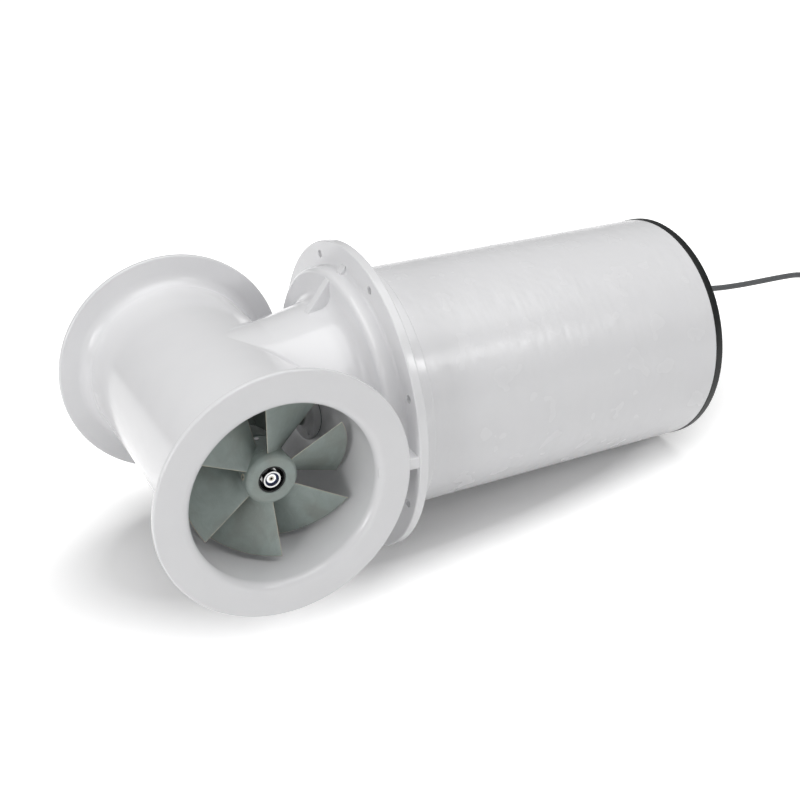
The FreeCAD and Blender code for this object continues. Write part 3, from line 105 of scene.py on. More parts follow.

# %% [markdown]
# ## The lead
# The grey lead comes straight out of its gland, sags a little and then falls to the surface,
# where the rest of it is wound into a flat coil of two layers. A free lead is a smooth curve, so
# its listed points are the control points of one NURBS spline. The coil is worked out by a
# loop: it winds inwards on top, steps down, and winds outwards below, so that no turn crosses
# another, and the end leaves along the surface to its connector.

# %% Lead: the listed points, and the turns of the coil
LEAD_DIAMETER = 0.007
LEAD_POINTS = [
    (0.0, 583.0, 36.0),
    (0.0, 613.0, 36.0),
    (0.0, 645.0, 31.0),
    (0.0, 682.0, 28.7),
    (0.0, 718.0, 27.9),
    (0.0, 752.0, 27.4),
    (-1.0, 786.0, 25.0),
    (-4.0, 816.0, 12.0),
    (-9.0, 836.0, -11.0),
    (-16.0, 854.0, -36.0),
    (-24.0, 875.0, -58.0),
    (-32.0, 901.0, -72.5),
    (-39.0, 930.0, -81.5),
    (-42.3, 959.0, -81.8),
]
TAIL_POINTS = [
    (46.5, 975.0, -87.4),
    (46.5, 959.0, -88.8),
    (46.9, 941.0, -85.0),
    (47.0, 925.0, -86.4),
]
COIL_CENTRE_MM = (2.0, 985.0)
COIL_TURNS = 5.5
TOP_LAYER_TURNS = 2.25
COIL_OUTER = 0.0445
COIL_INNER = COIL_OUTER - LEAD_DIAMETER * TOP_LAYER_TURNS
STEP_BULGE = 0.001
TIE_THICKNESS = 0.00125
STEPS_PER_TURN = 16


def from_crossing(points_mm):
    """Points measured in millimetres from the crossing of the axes, in the row frame."""
    return np.array(points_mm) * MM + np.array([0.0, CROSSING_Y, 0.0])


def coil_spiral(turn):
    """Radius and height of the lead in its coil after so many turns.

    Radius shrinks by one diameter a turn on the top layer, bulges inwards a little while the lead
    steps down, and grows by one diameter a turn on the bottom layer.
    """
    inwards = COIL_OUTER - LEAD_DIAMETER * turn
    outwards = COIL_INNER + LEAD_DIAMETER * (turn - TOP_LAYER_TURNS - 1)
    step = np.clip(turn - TOP_LAYER_TURNS, 0.0, 1.0)
    radius = np.where(turn < TOP_LAYER_TURNS, inwards, np.maximum(COIL_INNER, outwards))
    radius = radius - STEP_BULGE * np.sin(np.pi * step)
    eased = step * step * (3 - 2 * step)
    height = TIE_THICKNESS + LEAD_DIAMETER * (1.5 - eased)
    return radius, height


def on_surface(across, along, height):
    """Points given in the plane of the surface, about the coil's centre, in the row frame."""
    centre_x = COIL_CENTRE_MM[0] * MM
    centre_y = COIL_CENTRE_MM[1] * MM + CROSSING_Y
    y = centre_y + along * math.cos(REST_TILT) - height * math.sin(REST_TILT)
    z = rest_height(centre_y) + along * math.sin(REST_TILT) + height * math.cos(REST_TILT)
    return np.stack([centre_x + across, y, z], axis=-1)


turn = np.arange(1, int(COIL_TURNS * STEPS_PER_TURN)) / STEPS_PER_TURN
angle = math.pi - 2 * math.pi * turn
radius, height = coil_spiral(turn)
coil_points = on_surface(radius * np.cos(angle), radius * np.sin(angle), height)
lead_points = np.concatenate([from_crossing(LEAD_POINTS), coil_points, from_crossing(TAIL_POINTS)])


def spline_object(name, points, diameter):
    """One smooth NURBS spline through the pull of its points, with a round section.

    The section is a circle of one metre that each point's radius shrinks to the real one, because
    a curve's box reaches out by its points' radius.
    """
    curve = bpy.data.curves.new(name, "CURVE")
    curve.dimensions = "3D"
    curve.bevel_depth = 1.0
    curve.bevel_resolution = 5
    curve.resolution_u = 6
    curve.use_fill_caps = True
    spline = curve.splines.new("NURBS")
    spline.points.add(len(points) - 1)
    spline.points.foreach_set("co", np.column_stack([points, np.ones(len(points))]).ravel())
    spline.points.foreach_set("radius", np.full(len(points), diameter / 2))
    spline.order_u = 3
    spline.use_endpoint_u = True
    spline.use_smooth = True
    obj = bpy.data.objects.new(name, curve)
    bpy.context.scene.collection.objects.link(obj)
    return obj


lead = spline_object("grey_lead", lead_points, LEAD_DIAMETER)
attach(lead, "housing")
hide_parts("control_lead", "lead_coil", "lead_tail")
print("lead control points", len(lead_points))


# %% [markdown]
# ## Finishes: shader maths as plain arithmetic
# A finish is a Principled shader whose colour, gloss and relief change a little over the surface.
# Node trees are easier to read as formulas, so one small class stands for a number that varies
# over the surface and lets it be added and multiplied, and one method adds any other node.

# %% Fields and finishes
MIX_FIRST, MIX_SECOND, MIX_RESULT = 6, 7, 2


class Field:
    """A number that varies over a surface: one output socket with the operators of arithmetic."""

    def __init__(self, tree, socket):
        self.tree = tree
        self.socket = socket

    def maths(self, operation, *values, **settings):
        return self.tree.node("ShaderNodeMath", {"operation": operation, **settings}, *values)

    def __add__(self, other):
        return self.maths("ADD", self, other)

    def __sub__(self, other):
        return self.maths("SUBTRACT", self, other)

    def __rsub__(self, other):
        return self.maths("SUBTRACT", other, self)

    def __mul__(self, other):
        return self.maths("MULTIPLY", self, other)

    __radd__ = __add__
    __rmul__ = __mul__

    def held(self):
        """The number held between nought and one."""
        return self.maths("ADD", self, 0.0, use_clamp=True)

    def above(self, level, softness):
        """Nought below a level and one above it, with a ramp as wide as the softness between."""
        return ((self - level) * (1 / softness) + 0.5).held()


class Tree:
    """A tree of nodes, to which one method adds any node."""

    def __init__(self, nodes_and_links):
        self.tree = nodes_and_links

    def feed(self, socket, value):
        """Links a field to a socket, or sets a constant on it."""
        if isinstance(value, Field):
            self.tree.links.new(value.socket, socket)
        else:
            socket.default_value = value

    def node(self, kind, settings=None, *values, output=0, **inputs):
        """Adds a node: settings first, then the values or links of its sockets."""
        node = self.tree.nodes.new(kind)
        for name, setting in (settings or {}).items():
            setattr(node, name, setting)
        for number, value in enumerate(values):
            self.feed(node.inputs[number], value)
        for name, value in inputs.items():
            self.feed(node.inputs[name.replace("_", " ")], value)
        return Field(self, node.outputs[output])


class Finish(Tree):
    """One material: constants sit on its Principled shader, and varying things are linked."""

    def __init__(self, name, **constants):
        self.material = bpy.data.materials.new(name)
        self.material.use_nodes = True
        super().__init__(self.material.node_tree)
        self.shader = self.tree.nodes["Principled BSDF"]
        self.place = self.node("ShaderNodeTexCoord", output="Object")
        for socket, value in constants.items():
            self.feed(self.shader.inputs[socket.replace("_", " ")], value)

    def mapped(self, scale, turn=(0.0, 0.0, 0.0), shift=(0.0, 0.0, 0.0)):
        """Object coordinates, scaled, then turned, then shifted."""
        return self.node(
            "ShaderNodeMapping",
            {"vector_type": "POINT"},
            self.place,
            Scale=scale,
            Rotation=turn,
            Location=shift,
        )

    def length(self, vector):
        """How long a vector is."""
        return self.node("ShaderNodeVectorMath", {"operation": "LENGTH"}, vector, output="Value")

    def noise(self, scale, detail=2.0, rough=0.5, at=None, distortion=0.0):
        """Cloudy variation between nought and one; the scale is blobs per metre."""
        return self.node(
            "ShaderNodeTexNoise",
            None,
            Vector=at or self.place,
            Scale=scale,
            Detail=detail,
            Roughness=rough,
            Distortion=distortion,
        )

    def drawn_noise(self, stretch, detail=2.0, rough=0.5, turn=(0.0, 0.0, 0.0)):
        """Noise with its own number of blobs per metre along each direction."""
        return self.noise(1.0, detail, rough, self.mapped(stretch, turn))

    def colour(self, factor, first, second):
        """A colour between two others; the factor runs from nought to one."""
        mix = self.node(
            "ShaderNodeMix", {"data_type": "RGBA", "clamp_factor": True}, factor, output=MIX_RESULT
        )
        sockets = mix.socket.node.inputs
        self.feed(sockets[MIX_FIRST], first)
        self.feed(sockets[MIX_SECOND], second)
        return mix

    def relief(self, height, depth, under=None):
        """A bump whose height of one stands for the depth given in metres."""
        more = {"Normal": under} if under else {}
        return self.node("ShaderNodeBump", None, Height=height, Distance=depth, **more)

    def wear(self, colour, roughness, normal=None):
        """Links what varies to the shader."""
        self.feed(self.shader.inputs["Base Color"], colour)
        self.feed(self.shader.inputs["Roughness"], roughness)
        if normal:
            self.feed(self.shader.inputs["Normal"], normal)
        return self.material


def rgb(red, green, blue):
    """A colour written as the eye names it, from 0 to 255, turned into linear light."""
    level = np.array([red, green, blue]) / 255
    linear = np.where(level <= 0.04045, level / 12.92, ((level + 0.055) / 1.055) ** 2.4)
    return (*linear.tolist(), 1.0)


print("white at 226 is", [round(part, 3) for part in rgb(226, 227, 227)[:3]])

# %% [markdown]
# ## White gelcoat
# The tunnel and its flange are moulded in glass fibre with a white gelcoat on the outside. The
# mould gives a wet gloss, but the skin is never a perfect mirror: it shrinks a little over the
# fibres, so the gloss waves, and the colour clouds by a percent or two. Handling leaves the gloss
# a little duller in places.

# %% Finish of the mouldings
def gelcoat_finish():
    finish = Finish("white_gelcoat", IOR=1.5)
    cloud = finish.noise(9.0, 3.0)
    smudge = finish.noise(38.0, 4.0, 0.6)
    fibres = finish.noise(420.0, 3.0, 0.6)
    tone = cloud * 0.6 + smudge * 0.4
    colour = finish.colour(tone, rgb(231, 231, 233), rgb(239, 239, 240))
    gloss = (smudge - 0.5) * 0.14 + (cloud - 0.5) * 0.08 + 0.16
    shrink = finish.relief(finish.noise(17.0, 1.0), 0.0004)
    print_through = finish.relief(fibres, 0.000008, shrink)
    return finish.wear(colour, gloss, print_through)


GELCOAT = gelcoat_finish()
print(GELCOAT.name, "nodes", len(GELCOAT.node_tree.nodes))

# %% [markdown]
# ## Wound glass fibre
# The motor tube is wound from wet glass rovings on a mandrel and painted over. The winding shows
# as faint streaks that run round the tube at a small angle, crossed by a second set from the way
# back, and the paint lies in soft clouds, so that a highlight on it looks brushed.

# %% Finish of the motor tube
def wound_finish():
    finish = Finish("wound_laminate", IOR=1.48)
    there = finish.drawn_noise((16.0, 110.0, 16.0), 1.0, turn=(0.16, 0.0, 0.2))
    back = finish.drawn_noise((16.0, 90.0, 16.0), 1.0, turn=(-0.5, 0.0, -0.55))
    streaks = (there + back) * 0.5
    cloud = finish.noise(34.0, 2.0, 0.5)
    colour = finish.colour(streaks, rgb(234, 234, 236), rgb(236, 236, 237))
    gloss = (cloud - 0.5) * 0.12 + 0.26
    body = finish.relief(cloud, 0.0011)
    return finish.wear(colour, gloss, finish.relief(streaks, 0.00035, body))


WOUND = wound_finish()
print(WOUND.name, "nodes", len(WOUND.node_tree.nodes))

# %% [markdown]
# ## Grey composite
# The propeller is moulded in glass-filled nylon, grey with a breath of green. Flow lines of glass
# cloud its faces and fine scratches catch the light. Its thin edges are chipped to a pale beige:
# the blades carry a number named worn, which is one at their edges and fades over a millimetre.

# %% Finish of the propeller
def composite_finish():
    finish = Finish("glass_filled_nylon", IOR=1.5)
    flow = finish.noise(46.0, 5.0, 0.6, distortion=1.6)
    stain = finish.noise(24.0, 3.0, 0.5, distortion=0.8).above(0.54, 0.22) * 0.55
    grain = finish.noise(1300.0, 2.0, 0.7)
    scratches = finish.drawn_noise((90.0, 500.0, 160.0), turn=(0.9, 0.5, 1.1))
    pale = scratches.above(0.7, 0.1) * 0.3
    worn = finish.node("ShaderNodeAttribute", {"attribute_name": "worn"}, output="Fac")
    chipped = (worn * (finish.noise(300.0, 3.0, 0.6) + 0.45)).above(0.52, 0.3)
    tone = flow * 0.8 + grain * 0.2
    colour = finish.colour(tone, rgb(130, 142, 137), rgb(170, 181, 177))
    colour = finish.colour(stain, colour, rgb(132, 136, 128))
    colour = finish.colour(pale, colour, rgb(166, 176, 171))
    colour = finish.colour(chipped, colour, rgb(190, 183, 166))
    gloss = (flow - 0.5) * 0.3 + (grain - 0.5) * 0.15 + 0.4
    normal = finish.relief(grain, 0.00003, finish.relief(flow, 0.0004))
    return finish.wear(colour, gloss, normal)


COMPOSITE = composite_finish()
print(COMPOSITE.name, "nodes", len(COMPOSITE.node_tree.nodes))

# %% [markdown]
# ## Paint, casting, rubber and black plastic
# The gear leg is a casting in a grey paint that follows the skin of the sand mould. The cap and
# the gland are black nylon with a fine spark-eroded texture, and the rubber parts are duller and
# greyer, with a trace of the talc that they are packed in.

# %% Finishes of the castings and of the black parts
def cast_finish(name, dark, light, grain_size, gloss, metallic=0.0):
    """A cast skin: sand grain over soft unevenness, as paint or as bare metal."""
    finish = Finish(name, Metallic=metallic)
    uneven = finish.noise(45.0, 4.0, 0.6)
    sand = finish.noise(grain_size, 3.0, 0.7)
    colour = finish.colour(uneven * 0.6 + sand * 0.4, dark, light)
    rough = (sand - 0.5) * 0.25 + gloss
    normal = finish.relief(sand, 0.00012, finish.relief(uneven, 0.0005))
    return finish.wear(colour, rough, normal)


def nylon_finish():
    finish = Finish("black_nylon", IOR=1.4)
    spark = finish.noise(1500.0, 2.0, 0.7)
    bloom = finish.noise(30.0, 4.0, 0.6)
    rub = finish.noise(110.0, 4.0, 0.6).above(0.66, 0.12) * 0.5
    colour = finish.colour(bloom, rgb(18, 20, 20), rgb(30, 32, 32))
    colour = finish.colour(rub, colour, rgb(44, 46, 46))
    rough = (bloom - 0.5) * 0.3 + (spark - 0.5) * 0.2 + 0.46
    normal = finish.relief(spark, 0.00006, finish.relief(bloom, 0.0003))
    return finish.wear(colour, rough, normal)


def rubber_finish(name, dark, light):
    finish = Finish(name)
    talc = finish.noise(70.0, 5.0, 0.65)
    grain = finish.noise(2200.0, 2.0, 0.6)
    colour = finish.colour(talc * 0.7 + grain * 0.3, dark, light)
    rough = (talc - 0.5) * 0.25 + 0.62
    return finish.wear(colour, rough, finish.relief(grain, 0.00004))


FOOT_START = CROSSING_Y + 81.0 * MM


def leg_finish():
    """Grey paint up to the foot, which carries the housing's white where it lines the bore."""
    finish = Finish("leg_paint", IOR=1.5)
    uneven = finish.noise(45.0, 4.0, 0.6)
    sand = finish.noise(700.0, 3.0, 0.7)
    height = finish.node("ShaderNodeSeparateXYZ", None, finish.place, output="Y")
    foot = height.above(FOOT_START, 0.002)
    colour = finish.colour(uneven * 0.6 + sand * 0.4, rgb(104, 113, 108), rgb(126, 134, 129))
    colour = finish.colour(foot, colour, rgb(229, 229, 230))
    rough = (sand - 0.5) * 0.2 + 0.46
    normal = finish.relief(sand, 0.00008, finish.relief(uneven, 0.0004))
    return finish.wear(colour, rough, normal)


LEG_PAINT = leg_finish()
CAST_ALUMINIUM = cast_finish(
    "cast_aluminium", rgb(176, 178, 180), rgb(208, 210, 211), 500.0, 0.48, metallic=1.0
)
YOKE_PAINT = cast_finish("yoke_paint", rgb(32, 33, 35), rgb(48, 49, 51), 900.0, 0.42)
NYLON = nylon_finish()
RUBBER = rubber_finish("black_rubber", rgb(34, 34, 34), rgb(56, 56, 56))
SHEATH = rubber_finish("grey_sheath", rgb(84, 86, 88), rgb(108, 110, 112))
print("finishes so far", len(bpy.data.materials))

# %% [markdown]
# ## Turned and drawn metals
# Turned steel carries fine rings about its axis, ground steel is brighter, and copper warms the
# light and darkens where fingers have been. On each, the tool's marks are thin and long, so the
# noise behind them is stretched along the cut.

# %% Finishes of the metals inside
def metal_finish(name, dark, light, stretch, rough):
    """Bare metal with tool marks: noise drawn out along the cut varies both tone and gloss."""
    finish = Finish(name, Metallic=1.0)
    marks = finish.drawn_noise(stretch, 3.0, 0.6)
    stain = finish.noise(60.0, 4.0, 0.6)
    colour = finish.colour(marks * 0.5 + stain * 0.5, dark, light)
    gloss = (marks - 0.5) * 0.25 + (stain - 0.5) * 0.15 + rough
    return finish.wear(colour, gloss, finish.relief(marks, 0.00003))


def board_finish():
    """Phenolic board: layers of paper in brown resin, with the layers showing on cut edges."""
    finish = Finish("phenolic_board")
    layers = finish.drawn_noise((60.0, 3000.0, 60.0))
    cloud = finish.noise(80.0, 3.0)
    colour = finish.colour(layers * 0.5 + cloud * 0.5, rgb(88, 56, 36), rgb(150, 104, 68))
    return finish.wear(colour, (cloud - 0.5) * 0.2 + 0.42, finish.relief(layers, 0.00006))


STAINLESS = metal_finish("stainless", rgb(182, 183, 183), rgb(222, 222, 220), (200, 1800, 200), 0.3)
BRIGHT = metal_finish(
    "bright_steel", rgb(205, 206, 208), rgb(240, 240, 240), (300, 2500, 300), 0.16
)
COPPER = metal_finish("copper", rgb(186, 120, 88), rgb(232, 170, 132), (500, 500, 1500), 0.32)
LAMINATIONS = metal_finish("laminations", rgb(96, 95, 92), rgb(140, 138, 134), (80, 2600, 80), 0.5)
FERRITE = cast_finish("ferrite", rgb(58, 58, 60), rgb(82, 82, 84), 1200.0, 0.55)
BOARD = board_finish()
BLUE_NYLON = rubber_finish("blue_nylon_ring", rgb(28, 40, 78), rgb(44, 58, 102))


# Radii inside which painted shade stands for the centre drilling and its countersink.
CENTRE_HOLE_SHADE_RADIUS = 0.0014
COUNTERSINK_SHADE_RADIUS = 0.0029


def shaft_finish():
    """Bright steel on a flat end: the centre drilling is not modelled, so painted shade marks the hole and a
    greyer painted shade its countersink, told by the distance from the shaft's axis.
    """
    finish = Finish("shaft_end_painted_drilling", Metallic=1.0)
    marks = finish.drawn_noise((2500.0, 300.0, 300.0), 3.0, 0.6)
    out = finish.length(finish.mapped((0.0, 1.0, 1.0), shift=(0.0, -CROSSING_Y, 0.0)))
    # Painted shade: the countersink ring and the hole are darker colours on a flat end, not a recess.
    colour = finish.colour(out.above(COUNTERSINK_SHADE_RADIUS, 0.0006), rgb(172, 168, 158), rgb(236, 236, 236))
    colour = finish.colour(out.above(CENTRE_HOLE_SHADE_RADIUS, 0.0003), rgb(58, 48, 34), colour)
    return finish.wear(colour, marks * 0.2 + 0.2)


SHAFT_END_PAINTED_DRILLING = shaft_finish()
FINISH_OF_SLOT = {
    "white_laminate": GELCOAT,
    "wound_laminate": WOUND,
    "black_plastic": NYLON,
    "grey_composite": COMPOSITE,
    "leg_casting": LEG_PAINT,
    "rubber": RUBBER,
    "stainless": STAINLESS,
    "bright_steel": BRIGHT,
    "laminations": LAMINATIONS,
    "copper": COPPER,
    "ferrite": FERRITE,
    "cast_aluminium": CAST_ALUMINIUM,
    "yoke_paint": YOKE_PAINT,
    "phenolic": BOARD,
    "lead_sheath": SHEATH,
    "blue_nylon": BLUE_NYLON,
}


def dress(obj, material):
    """Gives a piece one finish."""
    obj.data.materials.clear()
    obj.data.materials.append(material)


for node, obj in frame["nodes"].items():
    dress(obj, FINISH_OF_SLOT[SLOT_OF[node]])
dress(lead, SHEATH)
print("finishes", len(bpy.data.materials), "nodes dressed", len(frame["nodes"]))

# %% [markdown]
# ## Surfaces from arrays
# Moulded and turned parts are smooth surfaces with soft edges. Each is worked out as a grid of
# points: a profile of straight runs and arcs, carried round an axis. A run gets extra rows close
# to its ends, so that flat faces stay flat in the shading right up to their rounded edges.

# %% Rounded profiles
EDGE_ROW = 0.35
SHORT_RUN = 2.0


def swing(first, last, turn, share):
    """Turns evenly from one spoke to another that stands at an angle to it.

    The sine of the turn still to go times the first, plus the sine of the turn already made
    times the last, over the sine of the whole turn.
    """
    return (np.sin((1 - share) * turn) * first + np.sin(share * turn) * last) / np.sin(turn)


def rounded(corners, closed=False, gap=6.0, arc_steps=7):
    """Corners (along, out, rounding) joined up, in millimetres.

    Each rounded corner becomes an arc tangent to both its runs: the arc starts and ends at the
    rounding divided by the tangent of half the corner's angle, and its points turn evenly from
    one radius to the other. Straight runs are divided into steps no longer than the gap.
    """
    place = np.array([corner[:2] for corner in corners], dtype=float)
    size = np.array([corner[2] if len(corner) == 3 else 0.0 for corner in corners])
    before = np.roll(place, 1, axis=0) - place
    after = np.roll(place, -1, axis=0) - place
    before /= np.linalg.norm(before, axis=1, keepdims=True)
    after /= np.linalg.norm(after, axis=1, keepdims=True)
    half = np.arccos(np.clip((before * after).sum(axis=1), -1, 1)) / 2
    if not closed:
        size[[0, -1]] = 0.0
    points = []
    for i, corner in enumerate(place):
        if size[i] == 0.0:
            points.append(corner[None, :])
            continue
        reach = size[i] / math.tan(half[i])
        first, last = corner + before[i] * reach, corner + after[i] * reach
        inwards = before[i] + after[i]
        centre = corner + inwards / np.linalg.norm(inwards) * size[i] / math.sin(half[i])
        share = np.linspace(0, 1, arc_steps + 1)[:, None]
        points.append(
            centre + swing(first - centre, last - centre, math.pi - 2 * half[i], share)
        )
    runs = []
    for i, piece in enumerate(points):
        follower = points[(i + 1) % len(points)][0]
        runs.append(piece)
        if closed or i < len(points) - 1:
            length = np.linalg.norm(follower - piece[-1])
            steps = max(1, round(length / gap))
            share = np.linspace(0, 1, steps + 1)[1:-1]
            if length > SHORT_RUN:
                edge = EDGE_ROW / length
                share = np.concatenate([[edge], share, [1 - edge]])
            runs.append(piece[-1] + (follower - piece[-1]) * share[:, None])
    return np.concatenate(runs)


def about(axis, along, out, angle):
    """Points about the X or Y axis: a place along it, and out times the cosine and the sine."""
    along, out, angle = np.broadcast_arrays(along, out, angle)
    first, second = out * np.cos(angle), out * np.sin(angle)
    order = (along, first, second) if axis == "X" else (first, along, second)
    return np.stack(order, axis=-1)


def full_turn(columns):
    """Angles that divide a whole turn evenly."""
    return np.arange(columns) / columns * 2 * math.pi


def carried_round(profile, axis, segments=192):
    """A profile (along, out) carried round the X or Y axis."""
    return about(axis, profile[:, :1], profile[:, 1:], full_turn(segments))


print("a rounded corner of 5 mm has", len(rounded([(0, 0), (9, 0, 5), (9, 9)])), "points")

# %% [markdown]
# ## From grids to finished pieces
# Several grids make one skin. The skin is merged where grids meet, turned to face outwards, drilled
# where the real piece is, and shaded smooth except over its true edges. Then it gets its finish,
# its body and the node that it stands for.

# %% Skins, soft shading and drilling
MERGE = 0.000002
SLIVER = 0.000001


@contextmanager
def edited(mesh):
    """The mesh's geometry open for editing, and written back at the end."""
    skin = bmesh.new()
    skin.from_mesh(mesh)
    yield skin
    skin.to_mesh(mesh)
    skin.free()


class Skin:
    """Grids of points, in millimetres from the crossing, gathered into one mesh."""

    def __init__(self):
        self.points = []
        self.faces = []
        self.worn = []
        self.count = 0

    def sheet(self, grid, close_rows=False, caps=False, worn=0.0):
        """Quads between neighbours on a grid whose columns go all round, with caps if asked."""
        rows, columns = grid.shape[:2]
        i = np.arange(rows if close_rows else rows - 1)[:, None]
        i, j = np.broadcast_arrays(i, np.arange(columns)[None, :])
        next_i, next_j = (i + 1) % rows, (j + 1) % columns
        quads = [i * columns + j, next_i * columns + j]
        quads += [next_i * columns + next_j, i * columns + next_j]
        quads = np.stack(quads, axis=-1).reshape(-1, 4) + self.count
        self.faces += quads.tolist()
        if caps:
            first_row = np.arange(columns) + self.count
            self.faces += [first_row.tolist(), (first_row + (rows - 1) * columns).tolist()]
        self.points.append(grid.reshape(-1, 3))
        self.worn.append(np.broadcast_to(worn, grid.shape[:2]).ravel())
        self.count += rows * columns
        return self

    def mesh(self, name):
        """The grids as one mesh in the row frame, with the wear of each point beside it."""
        mesh = bpy.data.meshes.new(name)
        mesh.from_pydata(from_crossing(np.concatenate(self.points)).tolist(), [], self.faces)
        worn = mesh.attributes.new("worn", "FLOAT", "POINT")
        worn.data.foreach_set("value", np.concatenate(self.worn).astype(np.float32))
        return mesh

    def piece(self, name, body, material, *nodes, slot=None, holes=None, edge_angle=30.0):
        """The finished object: merged, facing outwards, smooth but for its true edges."""
        mesh = self.mesh(name)
        with edited(mesh) as skin:
            bmesh.ops.remove_doubles(skin, verts=skin.verts, dist=MERGE)
            bmesh.ops.dissolve_degenerate(skin, edges=skin.edges, dist=SLIVER)
            bmesh.ops.recalc_face_normals(skin, faces=skin.faces)
        obj = bpy.data.objects.new(name, mesh)
        bpy.context.scene.collection.objects.link(obj)
        if holes:
            drill(obj, holes)
        soften(obj.data, edge_angle)
        dress(obj, material)
        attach(obj, body)
        if nodes:
            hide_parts(*nodes)
        return obj


def soften(mesh, edge_angle):
    """Shades a mesh smooth, except over edges that turn by more than an angle in degrees."""
    limit = math.radians(edge_angle)
    with edited(mesh) as skin:
        for edge in skin.edges:
            edge.smooth = len(edge.link_faces) == 2 and edge.calc_face_angle(math.pi) < limit
        for face in skin.faces:
            face.smooth = True


def drill(obj, holes):
    """Cuts holes with an exact boolean: the drills are a skin of closed cylinders."""
    mesh = holes.mesh("drills")
    with edited(mesh) as skin:
        bmesh.ops.recalc_face_normals(skin, faces=skin.faces)
    drills = bpy.data.objects.new("drills", mesh)
    bpy.context.scene.collection.objects.link(drills)
    cut = obj.modifiers.new("drilled", "BOOLEAN")
    cut.operation = "DIFFERENCE"
    cut.solver = "EXACT"
    cut.object = drills
    graph = bpy.context.evaluated_depsgraph_get()
    cut_mesh = bpy.data.meshes.new_from_object(obj.evaluated_get(graph))
    obj.modifiers.clear()
    obj.data = cut_mesh
    bpy.data.objects.remove(drills)


print("grids are joined where they come within", MERGE * 1000, "mm")

# %% [markdown]
# ## The moulded housing: tunnel and flared mouths
# The tunnel is one tube whose ends flare into flat rims, like a trumpet, so that water enters
# without breaking away. Its section is a closed profile with generous roundings, turned round
# the tunnel's axis: 8.5 mm from each face into the bore, and 12 mm behind each rim.

# %% Tunnel and mouths
BORE = 92.5
TUNNEL_OUTSIDE = 96.0
MOUTH = 166.0
RIM_BACK = 160.0
RIM = 127.5
housing_skin = Skin()
tunnel_profile = rounded(
    [
        (-MOUTH, BORE, 8.5),
        (MOUTH, BORE, 8.5),
        (MOUTH, RIM, 2.0),
        (RIM_BACK, RIM, 2.0),
        (RIM_BACK, TUNNEL_OUTSIDE, 12.0),
        (-RIM_BACK, TUNNEL_OUTSIDE, 12.0),
        (-RIM_BACK, RIM, 2.0),
        (-MOUTH, RIM, 2.0),
    ],
    closed=True,
)
housing_skin.sheet(carried_round(tunnel_profile, "X", 256), close_rows=True)
print("tunnel rows", len(tunnel_profile))

# %% [markdown]
# ## Neck, collar, hull flange and sleeve
# The neck leaves the side of the tunnel and widens a little towards a thick collar, behind which
# is the thin flange that bolts to the hull, and a sleeve that takes the motor tube. It is turned
# round the motor's axis. Its first row isn't a circle: it ends inside the tunnel's wall, where
# the square of its height plus the square of its depth make the square of the wall's radius.

# %% Neck to sleeve
NECK = 95.6
NECK_STRAIGHT = 50.0
COLLAR_FACE = 119.5
NECK_SLOPE = 13.4 / (COLLAR_FACE - NECK_STRAIGHT)
FLANGE_FRONT = 138.0
FLANGE_BACK = 148.0
FLANGE = 166.0
SLEEVE = 137.5
SLEEVE_END = 172.0
SOCKET = 130.5
SOCKET_FLOOR = 128.0
NECK_WALL = 5.0
NECK_WALL_END = 124.5
FILLET_START = 107.0
BURIED = BORE + 1.8
NECK_COLUMNS = 320


def neck_radius(y):
    """Radius of the neck at a distance from the tunnel's axis: straight, then widening."""
    return NECK + NECK_SLOPE * np.maximum(y - NECK_STRAIGHT, 0)


def neck_meets(radius, angle, proud):
    """Distance from the tunnel's axis at which the neck, grown by so much, meets a radius.

    Solved by repetition: y is the root of the radius squared less the height squared.
    """
    y = np.full_like(angle, 60.0)
    for _ in range(40):
        height = (neck_radius(y) + proud) * np.sin(angle)
        y = (y + np.sqrt(np.maximum(radius**2 - height**2, 0.0))) / 2
    return y


def neck_wall(angle, first, last, proud, share):
    """Rows of the neck's wall, grown by so much, at shares of the way between two places."""
    y = first + (last - first) * share[:, None]
    return about("Y", y, neck_radius(y) + proud, angle)


neck_profile = rounded(
    [
        (80.0, float(neck_radius(80.0))),
        (COLLAR_FACE, float(neck_radius(COLLAR_FACE)), 13.0),
        (COLLAR_FACE, 140.0, 5.0),
        (FLANGE_FRONT, 140.0, 3.0),
        (FLANGE_FRONT, FLANGE, 1.5),
        (FLANGE_BACK, FLANGE, 1.5),
        (FLANGE_BACK, SLEEVE, 1.0),
        (SLEEVE_END, SLEEVE, 1.5),
        (SLEEVE_END, SOCKET, 0.8),
        (SOCKET_FLOOR, SOCKET),
        (SOCKET_FLOOR, 120.0),
        (NECK_WALL_END, 120.0),
        (NECK_WALL_END, 105.0),
    ]
)
neck_profile = neck_profile[neck_profile[:, 0] > FILLET_START]
angle = full_turn(NECK_COLUMNS)
outer_start = neck_meets(BURIED, angle, 0.0)
inner_end = neck_meets(BURIED, angle, -NECK_WALL)
outside = neck_wall(angle, outer_start, neck_profile[0, 0], 0.0, np.linspace(0, 1, 41)[:-1])
inside = neck_wall(angle, NECK_WALL_END, inner_end, -NECK_WALL, np.linspace(0, 1, 5)[1:])
neck_grid = np.concatenate([outside, carried_round(neck_profile, "Y", NECK_COLUMNS), inside])
neck_skin = Skin().sheet(neck_grid, close_rows=True)
print("neck rows", len(neck_grid), "starts at", neck_grid[0, :, 1].min().round(1))

# %% [markdown]
# ## The soft corner where the neck leaves the tunnel
# A mould has no knife-sharp inside corner. A ball of 9 mm radius rolled along it gives its
# fillet: the ball's centre keeps its own radius away from both walls, and touches each wall
# where a line square to that wall meets it. The fillet is the arc between the two touches.

